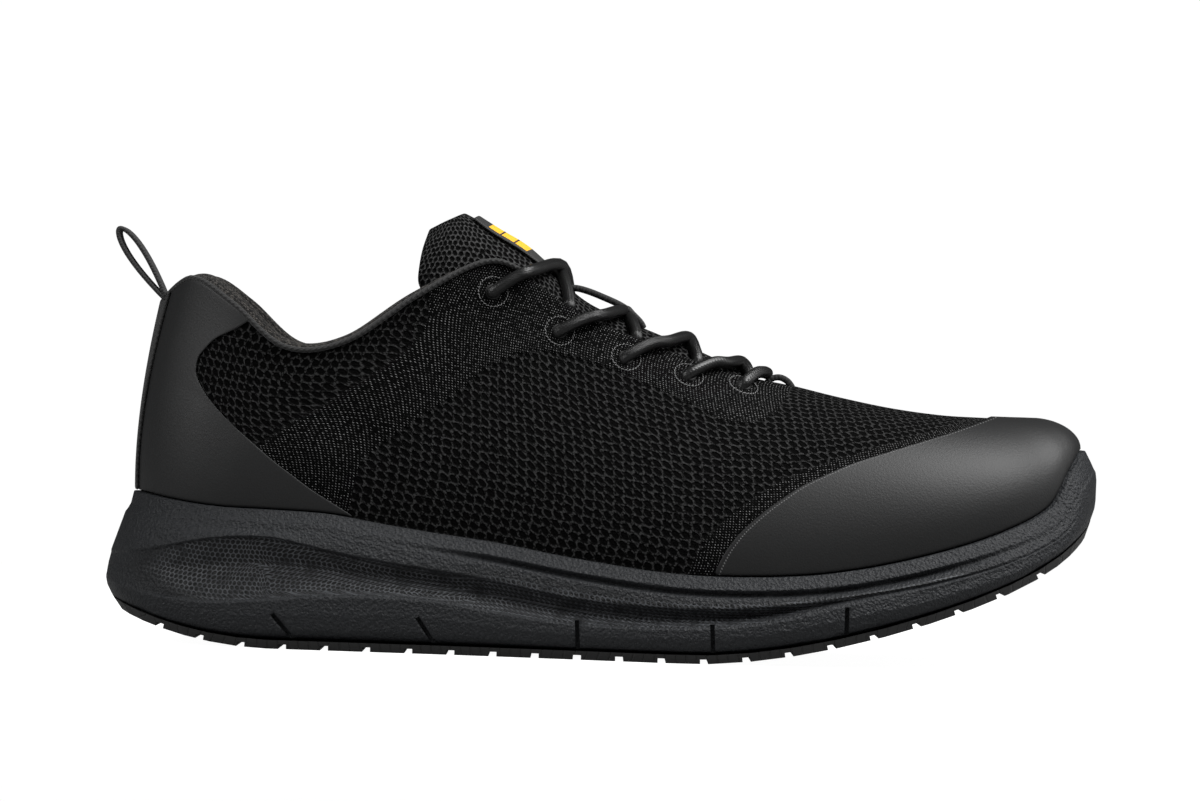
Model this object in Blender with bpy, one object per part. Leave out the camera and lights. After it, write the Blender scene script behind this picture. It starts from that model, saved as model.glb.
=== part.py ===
"""Safety sneaker for the right foot, standing empty on its sole.

Metres. +X is the toe, -Y the outer side, +Y the inner side, +Z up, and the floor is z = 0.
Stations run round the shoe: 0 is the toe tip, HEEL is the back of the heel, the outer side lies
between them, and the inner side is numbered on from HEEL back to the toe.
"""
import math
from collections import namedtuple

import bmesh
import bpy
from mathutils import Matrix, Vector

# Driving sizes of the last
LENGTH = 0.300
BALL_WIDTH = 0.110
TOE_HEIGHT = 0.0761
INSTEP_HEIGHT = 0.117
HEEL_HEIGHT = 0.103

# Sizes of the sole
RIM_HEIGHT = 0.045
FLARE = 0.0065
LIP = 0.0016
LEDGE_DROP = 0.0030
SLIT_DROP = 0.0053
RIB_DROP = 0.0068
SLIT_DEPTH = 0.0009
HOLLOW_DEPTH = 0.0016
HEEL_BED = 0.027
FOREFOOT_BED = 0.0135
TOE_SPRING = 0.036
TOE_CURL = 0.009
HEEL_LIFT = 0.0114
ARCH_RISE = 0.0028
OUTSOLE = 0.0026
LUG_DEPTH = 0.0014
GROOVE_WIDTH = 0.0024
LUG_PITCH = 0.0125
NOTCH_WIDTH = 0.0013
NOTCH_LENGTH = 0.0095
NOTCH_DEPTH = 0.0016

# Sizes of the upper and what is sewn to it
WALL = 0.0020
COLLAR_PAD = 0.0070
TUCK = 0.0030
FILM = 0.0007
EYELET_INSET = 0.0090
EYELET_RING = 0.0042
EYELET_CORD = 0.0005
EYELET_HOLE = 0.0021
LACE = 0.0033
INSOLE = 0.0040
TONGUE = 0.0035
TONGUE_PAD = 0.0060
CROWN_RISE = 0.0020
LABEL = 0.0008
WEBBING = 0.0014
WEBBING_WIDTH = 0.0110
KEEPER_LENGTH = 0.0150
KEEPER_WIDTH = 0.0090
KEEPER_RISE = 0.0062
PULL_HEIGHT = 0.0185
PULL_LEAN = 0.0130
PULL_WIDTH = 0.0060
THROAT_LOOP_WIDTH = 0.0055
THROAT_LOOP_RISE = 0.0030

# Clearance between pieces that touch, and how round the free edges are, as a share of the wall
GAP = 0.0003
EDGE_ROLL = 0.3

# Each row is a station. ahead is a share of LENGTH from its middle; outer and inner are shares
# of BALL_WIDTH; rim, shelf and ridge are heights of the side's edges as shares of RIM_HEIGHT;
# carve and slit say how deep the hollow and the slit are; toe and heel how near each end is.
SideRow = namedtuple("SideRow", "ahead outer inner rim shelf ridge carve slit toe heel")
SIDE = (
    SideRow(0.500, -0.030, 0.030, 1.467, 1.278, 1.144, 0.0, 0.0, 1.00, 0.0),
    SideRow(0.4955, 0.085, 0.140, 1.455, 1.245, 1.120, 0.0, 0.0, 0.95, 0.0),
    SideRow(0.484, 0.180, 0.232, 1.345, 1.150, 1.060, 0.0, 0.0, 0.80, 0.0),
    SideRow(0.460, 0.277, 0.314, 1.090, 0.925, 0.880, 0.0, 0.0, 0.50, 0.0),
    SideRow(0.407, 0.380, 0.402, 0.915, 0.742, 0.700, 0.0, 0.3, 0.20, 0.0),
    SideRow(0.327, 0.452, 0.471, 0.750, 0.582, 0.530, 0.0, 1.0, 0.05, 0.0),
    SideRow(0.235, 0.486, 0.4915, 0.622, 0.462, 0.395, 0.4, 1.0, 0.00, 0.0),
    SideRow(0.150, 0.492, 0.474, 0.576, 0.380, 0.262, 1.0, 1.0, 0.00, 0.0),
    SideRow(0.065, 0.482, 0.423, 0.585, 0.365, 0.222, 1.0, 1.0, 0.00, 0.0),
    SideRow(-0.027, 0.441, 0.368, 0.657, 0.405, 0.228, 1.0, 1.0, 0.00, 0.0),
    SideRow(-0.107, 0.409, 0.339, 0.745, 0.502, 0.290, 1.0, 0.8, 0.00, 0.0),
    SideRow(-0.167, 0.395, 0.336, 0.795, 0.560, 0.348, 1.0, 0.2, 0.00, 0.0),
    SideRow(-0.220, 0.388, 0.340, 0.845, 0.606, 0.360, 1.0, 0.0, 0.00, 0.05),
    SideRow(-0.273, 0.382, 0.346, 0.898, 0.668, 0.353, 1.0, 0.0, 0.00, 0.10),
    SideRow(-0.330, 0.373, 0.350, 0.914, 0.740, 0.320, 1.0, 0.0, 0.00, 0.20),
    SideRow(-0.388, 0.348, 0.338, 0.923, 0.722, 0.294, 0.9, 0.0, 0.00, 0.40),
    SideRow(-0.442, 0.283, 0.279, 0.955, 0.650, 0.318, 0.6, 0.0, 0.00, 0.70),
    SideRow(-0.483, 0.164, 0.164, 0.990, 0.605, 0.385, 0.2, 0.0, 0.00, 0.95),
    SideRow(-0.500, 0.000, 0.000, 1.000, 0.600, 0.410, 0.0, 0.0, 0.00, 1.00),
)
HEEL = len(SIDE) - 1
ROUND = 2 * HEEL

# How far each edge of the side lies inside the widest outline, as shares of FLARE, at the toe,
# along the sides and at the heel.
Inset = namedtuple("Inset", "toe side heel")
RIM = Inset(0.60, 1.00, 1.18)
LEDGE = Inset(0.29, 0.55, 1.05)
SLIT = Inset(0.12, 0.60, 0.88)
RIB = Inset(0.08, 0.42, 0.80)
SHELF = Inset(0.03, 0.26, 0.20)
HOLLOW = Inset(0.00, 0.36, 0.02)
RIDGE = Inset(0.04, 0.10, 0.00)
BAND = Inset(0.08, 0.00, 0.06)
PARTING = Inset(0.25, 0.20, 0.30)
TREAD = Inset(0.45, 0.38, 0.70)

# The top line of the upper at each station. ahead is a share of LENGTH; spread is half the
# opening as a share of BALL_WIDTH; rise is a share of the height named for the part of the last.
# swell, steep, crown and fall shape the section between the sole and the top line.
TopRow = namedtuple("TopRow", "ahead spread rise swell steep crown fall")
TOE_BOX = (
    TopRow(0.433, 0.000, 0.986, 0.000, 0.60, 0.50, 0.00),
    TopRow(0.421, 0.000, 0.986, 0.004, 0.60, 0.50, 0.00),
    TopRow(0.403, 0.000, 0.986, 0.008, 0.60, 0.52, 0.00),
    TopRow(0.377, 0.000, 0.987, 0.016, 0.62, 0.55, 0.00),
    TopRow(0.337, 0.000, 0.992, 0.026, 0.62, 0.55, 0.00),
    TopRow(0.287, 0.000, 1.014, 0.030, 0.58, 0.55, 0.00),
    TopRow(0.233, 0.000, 1.053, 0.030, 0.52, 0.54, 0.00),
    TopRow(0.186, 0.000, 1.094, 0.030, 0.48, 0.52, 0.02),
)
THROAT = (
    TopRow(0.125, 0.088, 0.741, 0.030, 0.46, 0.50, 0.08),
    TopRow(0.044, 0.140, 0.808, 0.030, 0.44, 0.48, 0.15),
    TopRow(-0.030, 0.175, 0.884, 0.030, 0.42, 0.46, 0.20),
    TopRow(-0.088, 0.210, 0.978, 0.034, 0.40, 0.42, 0.24),
    TopRow(-0.127, 0.242, 0.996, 0.036, 0.38, 0.38, 0.27),
)
COLLAR = (
    TopRow(-0.190, 0.285, 1.030, 0.038, 0.36, 0.32, 0.30),
    TopRow(-0.260, 0.312, 0.889, 0.038, 0.35, 0.28, 0.32),
    TopRow(-0.320, 0.300, 0.868, 0.036, 0.34, 0.28, 0.32),
    TopRow(-0.374, 0.248, 0.990, 0.026, 0.33, 0.34, 0.32),
    TopRow(-0.417, 0.145, 1.062, 0.014, 0.33, 0.50, 0.32),
    TopRow(-0.4487, 0.000, 1.000, 0.006, 0.33, 0.65, 0.33),
)
VAMP_POINT = len(TOE_BOX) - 1
CORNER = len(TOE_BOX) + len(THROAT) - 1

# Rows of the upper's mesh from the foot bed to the top line, as shares of each section
SECTION_STEPS = (0.0, 0.12, 0.25, 0.39, 0.53, 0.67, 0.79, 0.90, 1.0)
STEPS_PER_STATION = 2

# Eyelets by station along the throat edge, from the ankle forwards, and how far behind the next
# eyelet a crossing strand stops
EYELETS = (11.35, 10.05, 9.13, 8.38, 7.66)
LACE_STOP = 0.30

# Sections of the free end of the tongue: place of the crown, half width, and how far the side
# edges lie behind and below it, as shares of LENGTH, INSTEP_HEIGHT and BALL_WIDTH
TongueRow = namedtuple("TongueRow", "station ahead rise half back down pad")
TONGUE_TOP = (
    TongueRow(10.75, -0.068, 0.978, 0.205, 0.170, 0.085, 0.5),
    TongueRow(11.10, -0.088, 1.025, 0.208, 0.225, 0.100, 0.9),
    TongueRow(11.50, -0.116, 1.084, 0.212, 0.220, 0.105, 1.0),
    TongueRow(11.80, -0.137, 1.116, 0.185, 0.140, 0.085, 0.8),
    TongueRow(12.00, -0.150, 1.130, 0.135, 0.060, 0.040, 0.4),
)
TONGUE_ROOT = 6.5
TONGUE_FREE = 10.0

# Side outlines of the film overlays, as shares of LENGTH and TOE_HEIGHT or HEEL_HEIGHT
TOE_GUARD_EDGE = (
    (0.108, 0.30), (0.112, 0.36), (0.121, 0.435), (0.136, 0.515), (0.160, 0.60),
    (0.193, 0.695), (0.241, 0.785), (0.290, 0.850), (0.338, 0.910), (0.387, 0.978), (0.404, 1.02),
)
COUNTER_EDGE = (
    (-0.214, 0.33), (-0.249, 0.393), (-0.289, 0.461), (-0.329, 0.544), (-0.370, 0.641),
    (-0.395, 0.710), (-0.409, 0.780), (-0.408, 0.832), (-0.391, 0.888), (-0.368, 0.920),
    (-0.345, 0.965), (-0.330, 1.04),
)

# Diagonal notches of the lower band: place and lean along the sole, as shares of LENGTH
NOTCHES = ((-0.312, 0.028), (-0.170, 0.022), (-0.020, 0.002), (0.112, 0.002), (0.242, 0.000))


def catmull_rom(rows, place):
    """Every column at a real-valued place on a closed smooth curve through the rows."""
    first = math.floor(place)
    t = place - first
    weights = (
        (-t ** 3 + 2 * t ** 2 - t) / 2,
        (3 * t ** 3 - 5 * t ** 2 + 2) / 2,
        (-3 * t ** 3 + 4 * t ** 2 + t) / 2,
        (t ** 3 - t ** 2) / 2,
    )
    near = [rows[(first + step) % len(rows)] for step in (-1, 0, 1, 2)]
    return [sum(w * value for w, value in zip(weights, column)) for column in zip(*near)]


def smooth(value, start, end):
    """0 before start, 1 past end, and an even slope between."""
    t = min(1.0, max(0.0, (value - start) / (end - start)))
    return t * t * (3 - 2 * t)


def mix(a, b, share):
    """The value a share of the way from a to b."""
    return a + (b - a) * share


def side_loop():
    """The side rows all round, with outer and inner as one signed width."""
    outer = [row._replace(outer=-row.outer) for row in SIDE]
    inner = [row._replace(outer=row.inner) for row in SIDE[-2:0:-1]]
    return outer + inner


def top_loop():
    """The top line all round, with its heights in metres."""
    rows = [row._replace(rise=row.rise * TOE_HEIGHT) for row in TOE_BOX]
    rows += [row._replace(rise=row.rise * INSTEP_HEIGHT) for row in THROAT]
    rows += [row._replace(rise=row.rise * HEEL_HEIGHT) for row in COLLAR]
    return rows + rows[-2:0:-1]


SIDE_LOOP = side_loop()
TOP_LOOP = top_loop()
STATIONS = [index / STEPS_PER_STATION for index in range(ROUND * STEPS_PER_STATION)]


def side_at(station):
    """The side row at a station."""
    return SideRow(*catmull_rom(SIDE_LOOP, station))


def from_toe(station):
    """Stations between the toe tip and this one, on either side."""
    station = station % ROUND
    return min(station, ROUND - station)


def hand(station):
    """-1 on the outer side and +1 on the inner side."""
    return -1 if station % ROUND < HEEL else 1


def outline(station, inset=0.0):
    """A point of the sole's plan, set in from the widest outline."""
    def point(at):
        row = side_at(at)
        return Vector((row.ahead * LENGTH, row.outer * BALL_WIDTH))
    here = point(station)
    along = point(station + 0.05) - point(station - 0.05)
    outward = Vector((-along.y, along.x)).normalized()
    return here - outward * inset, outward


def inset_at(station, edge):
    """How far an edge of the side lies inside the outline at a station."""
    row = side_at(station)
    share = edge.side + (edge.toe - edge.side) * row.toe + (edge.heel - edge.side) * row.heel
    return share * FLARE


def ground(x, y):
    """Height of the tread: flat from heel to ball, lifted at the heel, toe and inner arch."""
    half = LENGTH / 2
    toe_start = 0.093 * LENGTH
    heel_start = 0.327 * LENGTH
    toe = max(0.0, (x - toe_start) / (half - toe_start))
    heel = max(0.0, (-x - heel_start) / (half - heel_start))
    arch = smooth(x, -0.27 * LENGTH, -0.14 * LENGTH) * (1 - smooth(x, -0.06 * LENGTH, 0.05 * LENGTH))
    arch *= smooth(y, -0.15 * BALL_WIDTH, 0.3 * BALL_WIDTH)
    return TOE_SPRING * toe ** 1.7 + TOE_CURL * toe ** 12 + HEEL_LIFT * heel ** 1.9 + ARCH_RISE * arch


def bed(x):
    """Height of the foot bed inside the midsole."""
    heel = 1 - smooth(x, -0.32 * LENGTH, 0.12 * LENGTH)
    return FOREFOOT_BED + (HEEL_BED - FOREFOOT_BED) * heel + 0.8 * ground(max(x, 0.0), -BALL_WIDTH)


def rim_height(station):
    """Height of the midsole's top edge."""
    return side_at(station).rim * RIM_HEIGHT


def feather(station, outward_by=0.0, above=0.0):
    """Where the upper leaves the sole, on its outer face."""
    inset = inset_at(station, RIM) + LIP + GAP - outward_by
    place, outward = outline(station, inset)
    return Vector((place.x, place.y, rim_height(station) + GAP + above)), outward


def top_line(station):
    """The ridge, throat edge or collar edge at a station, on the outer face."""
    row = TopRow(*catmull_rom(TOP_LOOP, station))
    spread = row.spread if from_toe(station) > VAMP_POINT else 0.0
    return Vector((row.ahead * LENGTH, hand(station) * spread * BALL_WIDTH, row.rise)), row


def upper_point(station, share):
    """A point of the upper's outer face, from the feather line at 0 to the top line at 1."""
    foot, outward = feather(station)
    top, row = top_line(station)
    height = top.z - foot.z
    low = foot + Vector((outward.x, outward.y, 0)) * row.swell * BALL_WIDTH
    low.z += row.steep * height
    high = top + Vector((foot.x - top.x, foot.y - top.y, 0)) * row.crown
    high.z -= row.fall * height
    rest = 1 - share
    return rest ** 3 * foot + 3 * rest ** 2 * share * low + 3 * rest * share ** 2 * high + share ** 3 * top


def upper_normal(station, share):
    """The outward direction of the upper's outer face."""
    near = max(0.02, min(0.98, share))
    across = upper_point(station + 0.05, near) - upper_point(station - 0.05, near)
    up = upper_point(station, near + 0.02) - upper_point(station, near - 0.02)
    return up.cross(across).normalized()


def wall_at(station, share):
    """Thickness of the upper: one wall, padded round the collar."""
    along = smooth(from_toe(station), CORNER - 0.4, CORNER + 1.6)
    return WALL + (COLLAR_PAD - WALL) * along * smooth(share, 0.35, 0.9)


def material(name, colour, roughness):
    """A plain finish in the colour of one sub-part."""
    made = bpy.data.materials.new(name)
    made.use_nodes = True
    shader = made.node_tree.nodes["Principled BSDF"]
    shader.inputs["Base Color"].default_value = (*colour, 1)
    shader.inputs["Roughness"].default_value = roughness
    shader.inputs["Metallic"].default_value = 0.0
    return made


def place_mesh(name, mesh, finish):
    """A closed mesh as a named object."""
    bmesh.ops.remove_doubles(mesh, verts=mesh.verts, dist=1e-7)
    bmesh.ops.recalc_face_normals(mesh, faces=mesh.faces)
    data = bpy.data.meshes.new(name)
    mesh.to_mesh(data)
    mesh.free()
    made = bpy.data.objects.new(name, data)
    data.materials.append(finish)
    data.shade_smooth()
    data.set_sharp_from_angle(angle=math.radians(35))
    bpy.context.collection.objects.link(made)
    return made


def guide(made):
    """Mark an object as a cutter that is no part of the shoe."""
    made.hide_render = True
    made.display_type = "WIRE"
    return made


def combine(target, other, operation):
    """Cut, keep or join by another object."""
    step = target.modifiers.new(operation.title(), "BOOLEAN")
    step.operation = operation
    step.solver = "EXACT"
    step.object = guide(other)


def join_rings(mesh, rings, closed=True):
    """Quads between neighbouring rings of equal length."""
    for low, high in zip(rings, rings[1:]):
        count = len(low)
        for index in range(count if closed else count - 1):
            after = (index + 1) % count
            mesh.faces.new((low[index], low[after], high[after], high[index]))


def cap_ring(mesh, ring, across, height):
    """Close a ring from side to side, with inner points at the given height."""
    half = len(ring) // 2
    rows = [[ring[0]]]
    for index in range(1, half):
        outer, inner = ring[index], ring[-index]
        row = [outer]
        for step in range(1, across):
            place = outer.co.lerp(inner.co, step / across)
            row.append(mesh.verts.new((place.x, place.y, height(place.x, place.y))))
        rows.append(row + [inner])
    rows.append([ring[half]])
    for near, far in zip(rows, rows[1:]):
        for index in range(across):
            corners = [near[min(index, len(near) - 1)], near[min(index + 1, len(near) - 1)],
                       far[min(index + 1, len(far) - 1)], far[min(index, len(far) - 1)]]
            distinct = list(dict.fromkeys(corners))
            mesh.faces.new(distinct)


def thick_sheet(mesh, thickness, roll=0.0):
    """Turn an open smooth sheet into a wall.

    thickness gives the wall at each vertex index, and roll how round the free edges of the
    padded parts are.
    """
    mesh.verts.ensure_lookup_table()
    mesh.verts.index_update()
    mesh.normal_update()
    faces = list(mesh.faces)
    edges = [edge for edge in mesh.edges if edge.is_boundary]
    outer = list(mesh.verts)
    inner = [mesh.verts.new(vert.co - vert.normal * thickness[vert.index]) for vert in outer]
    for face in faces:
        mesh.faces.new([inner[vert.index] for vert in reversed(face.verts)])
    middle = {}
    for edge in edges:
        for vert in edge.verts:
            if roll and vert not in middle:
                opposite = inner[vert.index]
                lift = (vert.co - opposite.co).length * roll
                along = vert.normal.cross(edge.verts[1].co - edge.verts[0].co).normalized()
                away = vert.co - edge.link_faces[0].calc_center_median()
                along = along if along.dot(away) > 0 else -along
                middle[vert] = mesh.verts.new((vert.co + opposite.co) / 2 + along * lift)
    for edge in edges:
        first, second = edge.verts
        low, high = inner[first.index], inner[second.index]
        if roll:
            mesh.faces.new((first, second, middle[second], middle[first]))
            mesh.faces.new((middle[first], middle[second], high, low))
        else:
            mesh.faces.new((first, second, high, low))


def weld_ridge(mesh, grid, stations):
    """Join the two sides of the upper where they meet on the ridge."""
    pairs = {}
    for station, column in zip(stations, grid):
        if from_toe(station) <= VAMP_POINT:
            pairs.setdefault(round(from_toe(station), 3), []).append(column[-1])
    targets = {pair[1]: pair[0] for pair in pairs.values() if len(pair) == 2}
    bmesh.ops.weld_verts(mesh, targetmap=targets)


def upper_skin(stations, steps, lift, closed, foot=False):
    """An open sheet on the upper's outer face, raised by lift, with its wall at each vertex."""
    mesh = bmesh.new()
    grid = []
    for station in stations:
        column = []
        if foot:
            inset = inset_at(station, RIM) + LIP + TUCK + GAP
            place, _ = outline(station, inset)
            column.append(mesh.verts.new((place.x, place.y, bed(place.x) + GAP + EDGE_ROLL * WALL)))
        for share in steps:
            point = upper_point(station, share) + upper_normal(station, share) * lift
            if from_toe(station) <= VAMP_POINT and share == 1.0:
                point.y = 0.0
            column.append(mesh.verts.new(point))
        grid.append(column)
    join_rings(mesh, grid if not closed else grid + [grid[0]], closed=False)
    return mesh, grid


def make_upper(finish):
    """The knitted wall, open at the collar, throat and sole, with its eyelet holes."""
    mesh, grid = upper_skin(STATIONS, SECTION_STEPS, 0.0, closed=True, foot=True)
    walls = {}
    for station, column in zip(STATIONS, grid):
        walls[column[0]] = WALL
        for share, vert in zip(SECTION_STEPS, column[1:]):
            walls[vert] = wall_at(station, share)
    weld_ridge(mesh, grid, STATIONS)
    mesh.verts.index_update()
    thickness = {vert.index: walls[vert] for vert in mesh.verts}
    thick_sheet(mesh, thickness, roll=EDGE_ROLL)
    upper = place_mesh("upper", mesh, finish)
    holes = bmesh.new()
    for place, normal in eyelet_places():
        turn = Vector((0, 0, 1)).rotation_difference(normal).to_matrix().to_4x4()
        bmesh.ops.create_cone(holes, cap_ends=True, segments=10, radius1=EYELET_HOLE,
                              radius2=EYELET_HOLE, depth=8 * WALL,
                              matrix=Matrix.Translation(place) @ turn)
    combine(upper, place_mesh("eyelet_holes", holes, finish), "DIFFERENCE")
    return upper


def eyelet_places():
    """Centre and outward normal of each eyelet, outer side first."""
    places = []
    for side in (0, 1):
        for station in EYELETS:
            at = ROUND - station if side else station
            share = 1.0
            while (upper_point(at, share) - upper_point(at, 1.0)).length < EYELET_INSET:
                share -= 0.005
            places.append((upper_point(at, share), upper_normal(at, share)))
    return places


def make_eyelets(finish):
    """A stitched ring round each eyelet hole."""
    for index, (place, normal) in enumerate(eyelet_places()):
        mesh = bmesh.new()
        turn = Vector((0, 0, 1)).rotation_difference(normal).to_matrix().to_4x4()
        seat = Matrix.Translation(place + normal * (2.2 * GAP + EYELET_CORD)) @ turn
        rings = []
        segments = 14
        for step in range(segments):
            angle = 2 * math.pi * step / segments
            outward = Vector((math.cos(angle), math.sin(angle), 0))
            corners = ((EYELET_CORD, 0), (0, EYELET_CORD), (-EYELET_CORD, 0), (0, -EYELET_CORD))
            rings.append([mesh.verts.new(seat @ (outward * (EYELET_RING + out) + Vector((0, 0, up))))
                          for out, up in corners])
        join_rings(mesh, rings + [rings[0]])
        side = "outer" if index < len(EYELETS) else "inner"
        place_mesh(f"eyelet_{side}_{index % len(EYELETS) + 1}", mesh, finish)


def side_prism(name, points, finish):
    """A cutter with the given side outline, across the whole shoe."""
    mesh = bmesh.new()
    for hand_side in (-1, 1):
        mesh.faces.new([mesh.verts.new((x, hand_side * BALL_WIDTH, z)) for x, z in points])
    mesh.verts.ensure_lookup_table()
    near, far = mesh.verts[:len(points)], mesh.verts[len(points):]
    join_rings(mesh, [near, far])
    return place_mesh(name, mesh, finish)


def make_toe_guard(finish):
    """The smooth film over the toe, cut from a shell on the upper."""
    reach = VAMP_POINT + 1
    stations = [place / STEPS_PER_STATION
                for place in range(-reach * STEPS_PER_STATION, reach * STEPS_PER_STATION + 1)]
    mesh, grid = upper_skin(stations, SECTION_STEPS, GAP + FILM, closed=False)
    weld_ridge(mesh, grid, stations)
    mesh.verts.index_update()
    thick_sheet(mesh, {vert.index: FILM for vert in mesh.verts})
    guard = place_mesh("toe_guard", mesh, finish)
    edge = [(ahead * LENGTH, rise * TOE_HEIGHT) for ahead, rise in TOE_GUARD_EDGE]
    edge += [(LENGTH, 1.2 * TOE_HEIGHT), (LENGTH, 0.2 * TOE_HEIGHT)]
    combine(guard, side_prism("toe_guard_outline", edge, finish), "INTERSECT")


def make_heel_counter(finish):
    """The smooth film round the heel, cut from a shell on the upper."""
    reach = 7
    stations = [HEEL + place / STEPS_PER_STATION
                for place in range(-reach * STEPS_PER_STATION, reach * STEPS_PER_STATION + 1)]
    mesh, _ = upper_skin(stations, SECTION_STEPS, GAP + FILM, closed=False)
    thick_sheet(mesh, {index: FILM for index in range(len(mesh.verts))})
    counter = place_mesh("heel_counter", mesh, finish)
    edge = [(ahead * LENGTH, rise * HEEL_HEIGHT) for ahead, rise in COUNTER_EDGE]
    edge += [(-LENGTH, 1.3 * HEEL_HEIGHT), (-LENGTH, 0.2 * HEEL_HEIGHT)]
    combine(counter, side_prism("heel_counter_outline", edge, finish), "INTERSECT")


def side_ring(mesh, edge, height, extra=None):
    """One edge of the sole's side, all round."""
    ring = []
    for station in STATIONS:
        inset = inset_at(station, edge) + (extra(side_at(station)) if extra else 0.0)
        place, _ = outline(station, inset)
        ring.append(mesh.verts.new((place.x, place.y, height(station, place))))
    return ring


def make_midsole(finish):
    """The foam sole: foot bed, raised rim, ledge, slit, hollow, ridge, band and notches."""
    mesh = bmesh.new()

    def below_rim(drop):
        return lambda station, place: rim_height(station) - drop

    def shelf(station, place):
        return side_at(station).shelf * RIM_HEIGHT

    def ridge(station, place):
        return side_at(station).ridge * RIM_HEIGHT

    def hollow(station, place):
        return mix(shelf(station, place), ridge(station, place), 0.42)

    def parting(station, place):
        return ground(place.x, place.y) + OUTSOLE + GAP

    def band(station, place):
        return mix(ridge(station, place), parting(station, place), 0.4)

    def foot_bed(station, place):
        return bed(place.x)

    rings = [
        side_ring(mesh, RIM, foot_bed, lambda row: LIP + TUCK),
        side_ring(mesh, RIM, below_rim(0.0), lambda row: LIP),
        side_ring(mesh, RIM, below_rim(0.0)),
        side_ring(mesh, LEDGE, below_rim(LEDGE_DROP)),
        side_ring(mesh, SLIT, below_rim(SLIT_DROP), lambda row: row.slit * SLIT_DEPTH),
        side_ring(mesh, RIB, below_rim(RIB_DROP)),
        side_ring(mesh, SHELF, shelf),
        side_ring(mesh, HOLLOW, hollow, lambda row: row.carve * HOLLOW_DEPTH),
        side_ring(mesh, RIDGE, ridge),
        side_ring(mesh, BAND, band),
        side_ring(mesh, PARTING, parting),
    ]
    join_rings(mesh, rings)
    cap_ring(mesh, rings[0], 1, lambda x, y: bed(x))
    cap_ring(mesh, rings[-1], 4, lambda x, y: ground(x, y) + OUTSOLE + GAP)
    midsole = place_mesh("midsole", mesh, finish)
    cuts = bmesh.new()
    for side in (-1, 1):
        for ahead, lean in NOTCHES:
            x = ahead * LENGTH
            station = nearest_station(x, side)
            place, outward = outline(station)
            foot = ground(place.x, place.y) + OUTSOLE
            middle = Vector((place.x, place.y, foot + 0.45 * NOTCH_LENGTH))
            middle -= Vector((outward.x, outward.y, 0)) * (NOTCH_DEPTH - 2 * NOTCH_DEPTH)
            tilt = math.atan2(lean * LENGTH, NOTCH_LENGTH)
            turn = Matrix.Rotation(-tilt, 4, "Y")
            size = Matrix.Diagonal((NOTCH_WIDTH, 6 * NOTCH_DEPTH, NOTCH_LENGTH, 1))
            bmesh.ops.create_cube(cuts, size=1, matrix=Matrix.Translation(middle) @ turn @ size)
    combine(midsole, place_mesh("notch_cuts", cuts, finish), "DIFFERENCE")


def nearest_station(x, side):
    """The station on one side whose outline lies at x."""
    low, high = 0.5, HEEL - 0.5
    for _ in range(30):
        middle = (low + high) / 2
        if outline(middle)[0].x > x:
            low = middle
        else:
            high = middle
    return low if side < 0 else ROUND - low


def make_outsole(finish):
    """The rubber tread, with cross grooves between its lugs and one groove along its middle."""
    mesh = bmesh.new()
    rings = [
        side_ring(mesh, PARTING, lambda station, place: ground(place.x, place.y) + OUTSOLE),
        side_ring(mesh, TREAD, lambda station, place: ground(place.x, place.y)),
    ]
    join_rings(mesh, rings)
    cap_ring(mesh, rings[0], 4, lambda x, y: ground(x, y) + OUTSOLE)
    cap_ring(mesh, rings[1], 4, ground)
    outsole = place_mesh("outsole", mesh, finish)
    cuts = bmesh.new()
    count = int(0.92 * LENGTH / LUG_PITCH)
    for index in range(count):
        x = (index - (count - 1) / 2) * LUG_PITCH
        slope = (ground(x + GROOVE_WIDTH, -BALL_WIDTH) - ground(x - GROOVE_WIDTH, -BALL_WIDTH))
        tilt = math.atan2(slope, 2 * GROOVE_WIDTH)
        height = 2 * LUG_DEPTH
        turn = Matrix.Rotation(-tilt, 4, "Y")
        size = Matrix.Diagonal((GROOVE_WIDTH, 1.3 * BALL_WIDTH, height, 1))
        middle = Vector((x, 0, ground(x, -BALL_WIDTH)))
        bmesh.ops.create_cube(cuts, size=1, matrix=Matrix.Translation(middle) @ turn @ size)
    combine(outsole, place_mesh("groove_cuts", cuts, finish), "DIFFERENCE")


def make_insole(finish):
    """The loose sock liner on the foot bed."""
    mesh = bmesh.new()
    clear = LIP + TUCK + WALL + 3 * GAP
    rings = [
        side_ring(mesh, RIM, lambda station, place: bed(place.x) + GAP, lambda row: clear),
        side_ring(mesh, RIM, lambda station, place: bed(place.x) + GAP + INSOLE, lambda row: clear),
    ]
    join_rings(mesh, rings)
    cap_ring(mesh, rings[0], 1, lambda x, y: bed(x) + GAP)
    cap_ring(mesh, rings[1], 1, lambda x, y: bed(x) + GAP + INSOLE)
    place_mesh("insole", mesh, finish)


def under_upper(station, share, depth):
    """A point below the upper's inner face."""
    return upper_point(station, share) - upper_normal(station, share) * (wall_at(station, share) + depth)


def tongue_section(station):
    """Nine points across the tongue's outer face, from the outer side to the inner side."""
    slack = 3 * GAP
    inner = ROUND - station
    shares = (0.84, 0.91, 0.975)
    left = [under_upper(station, share, slack) for share in shares]
    right = [under_upper(inner, share, slack) for share in shares]
    if station <= VAMP_POINT:
        middle = under_upper(station, 1.0, slack)
        middle.y = 0.0
        return left[:2] + [left[1].lerp(middle, 0.5), left[1].lerp(middle, 0.8), middle,
                           right[1].lerp(middle, 0.8), right[1].lerp(middle, 0.5)] + right[1::-1]
    span = left[2].lerp(right[2], 0.5)
    rise = CROWN_RISE * smooth(station, VAMP_POINT, VAMP_POINT + 1.5) + WALL * 0.6
    direction = Vector((0.5, 0, 0.87))
    middle = span + direction * rise
    quarter = [left[2].lerp(middle, 0.55) + direction * 0.25 * rise,
               right[2].lerp(middle, 0.55) + direction * 0.25 * rise]
    return left + [quarter[0], middle, quarter[1]] + right[::-1]


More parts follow.
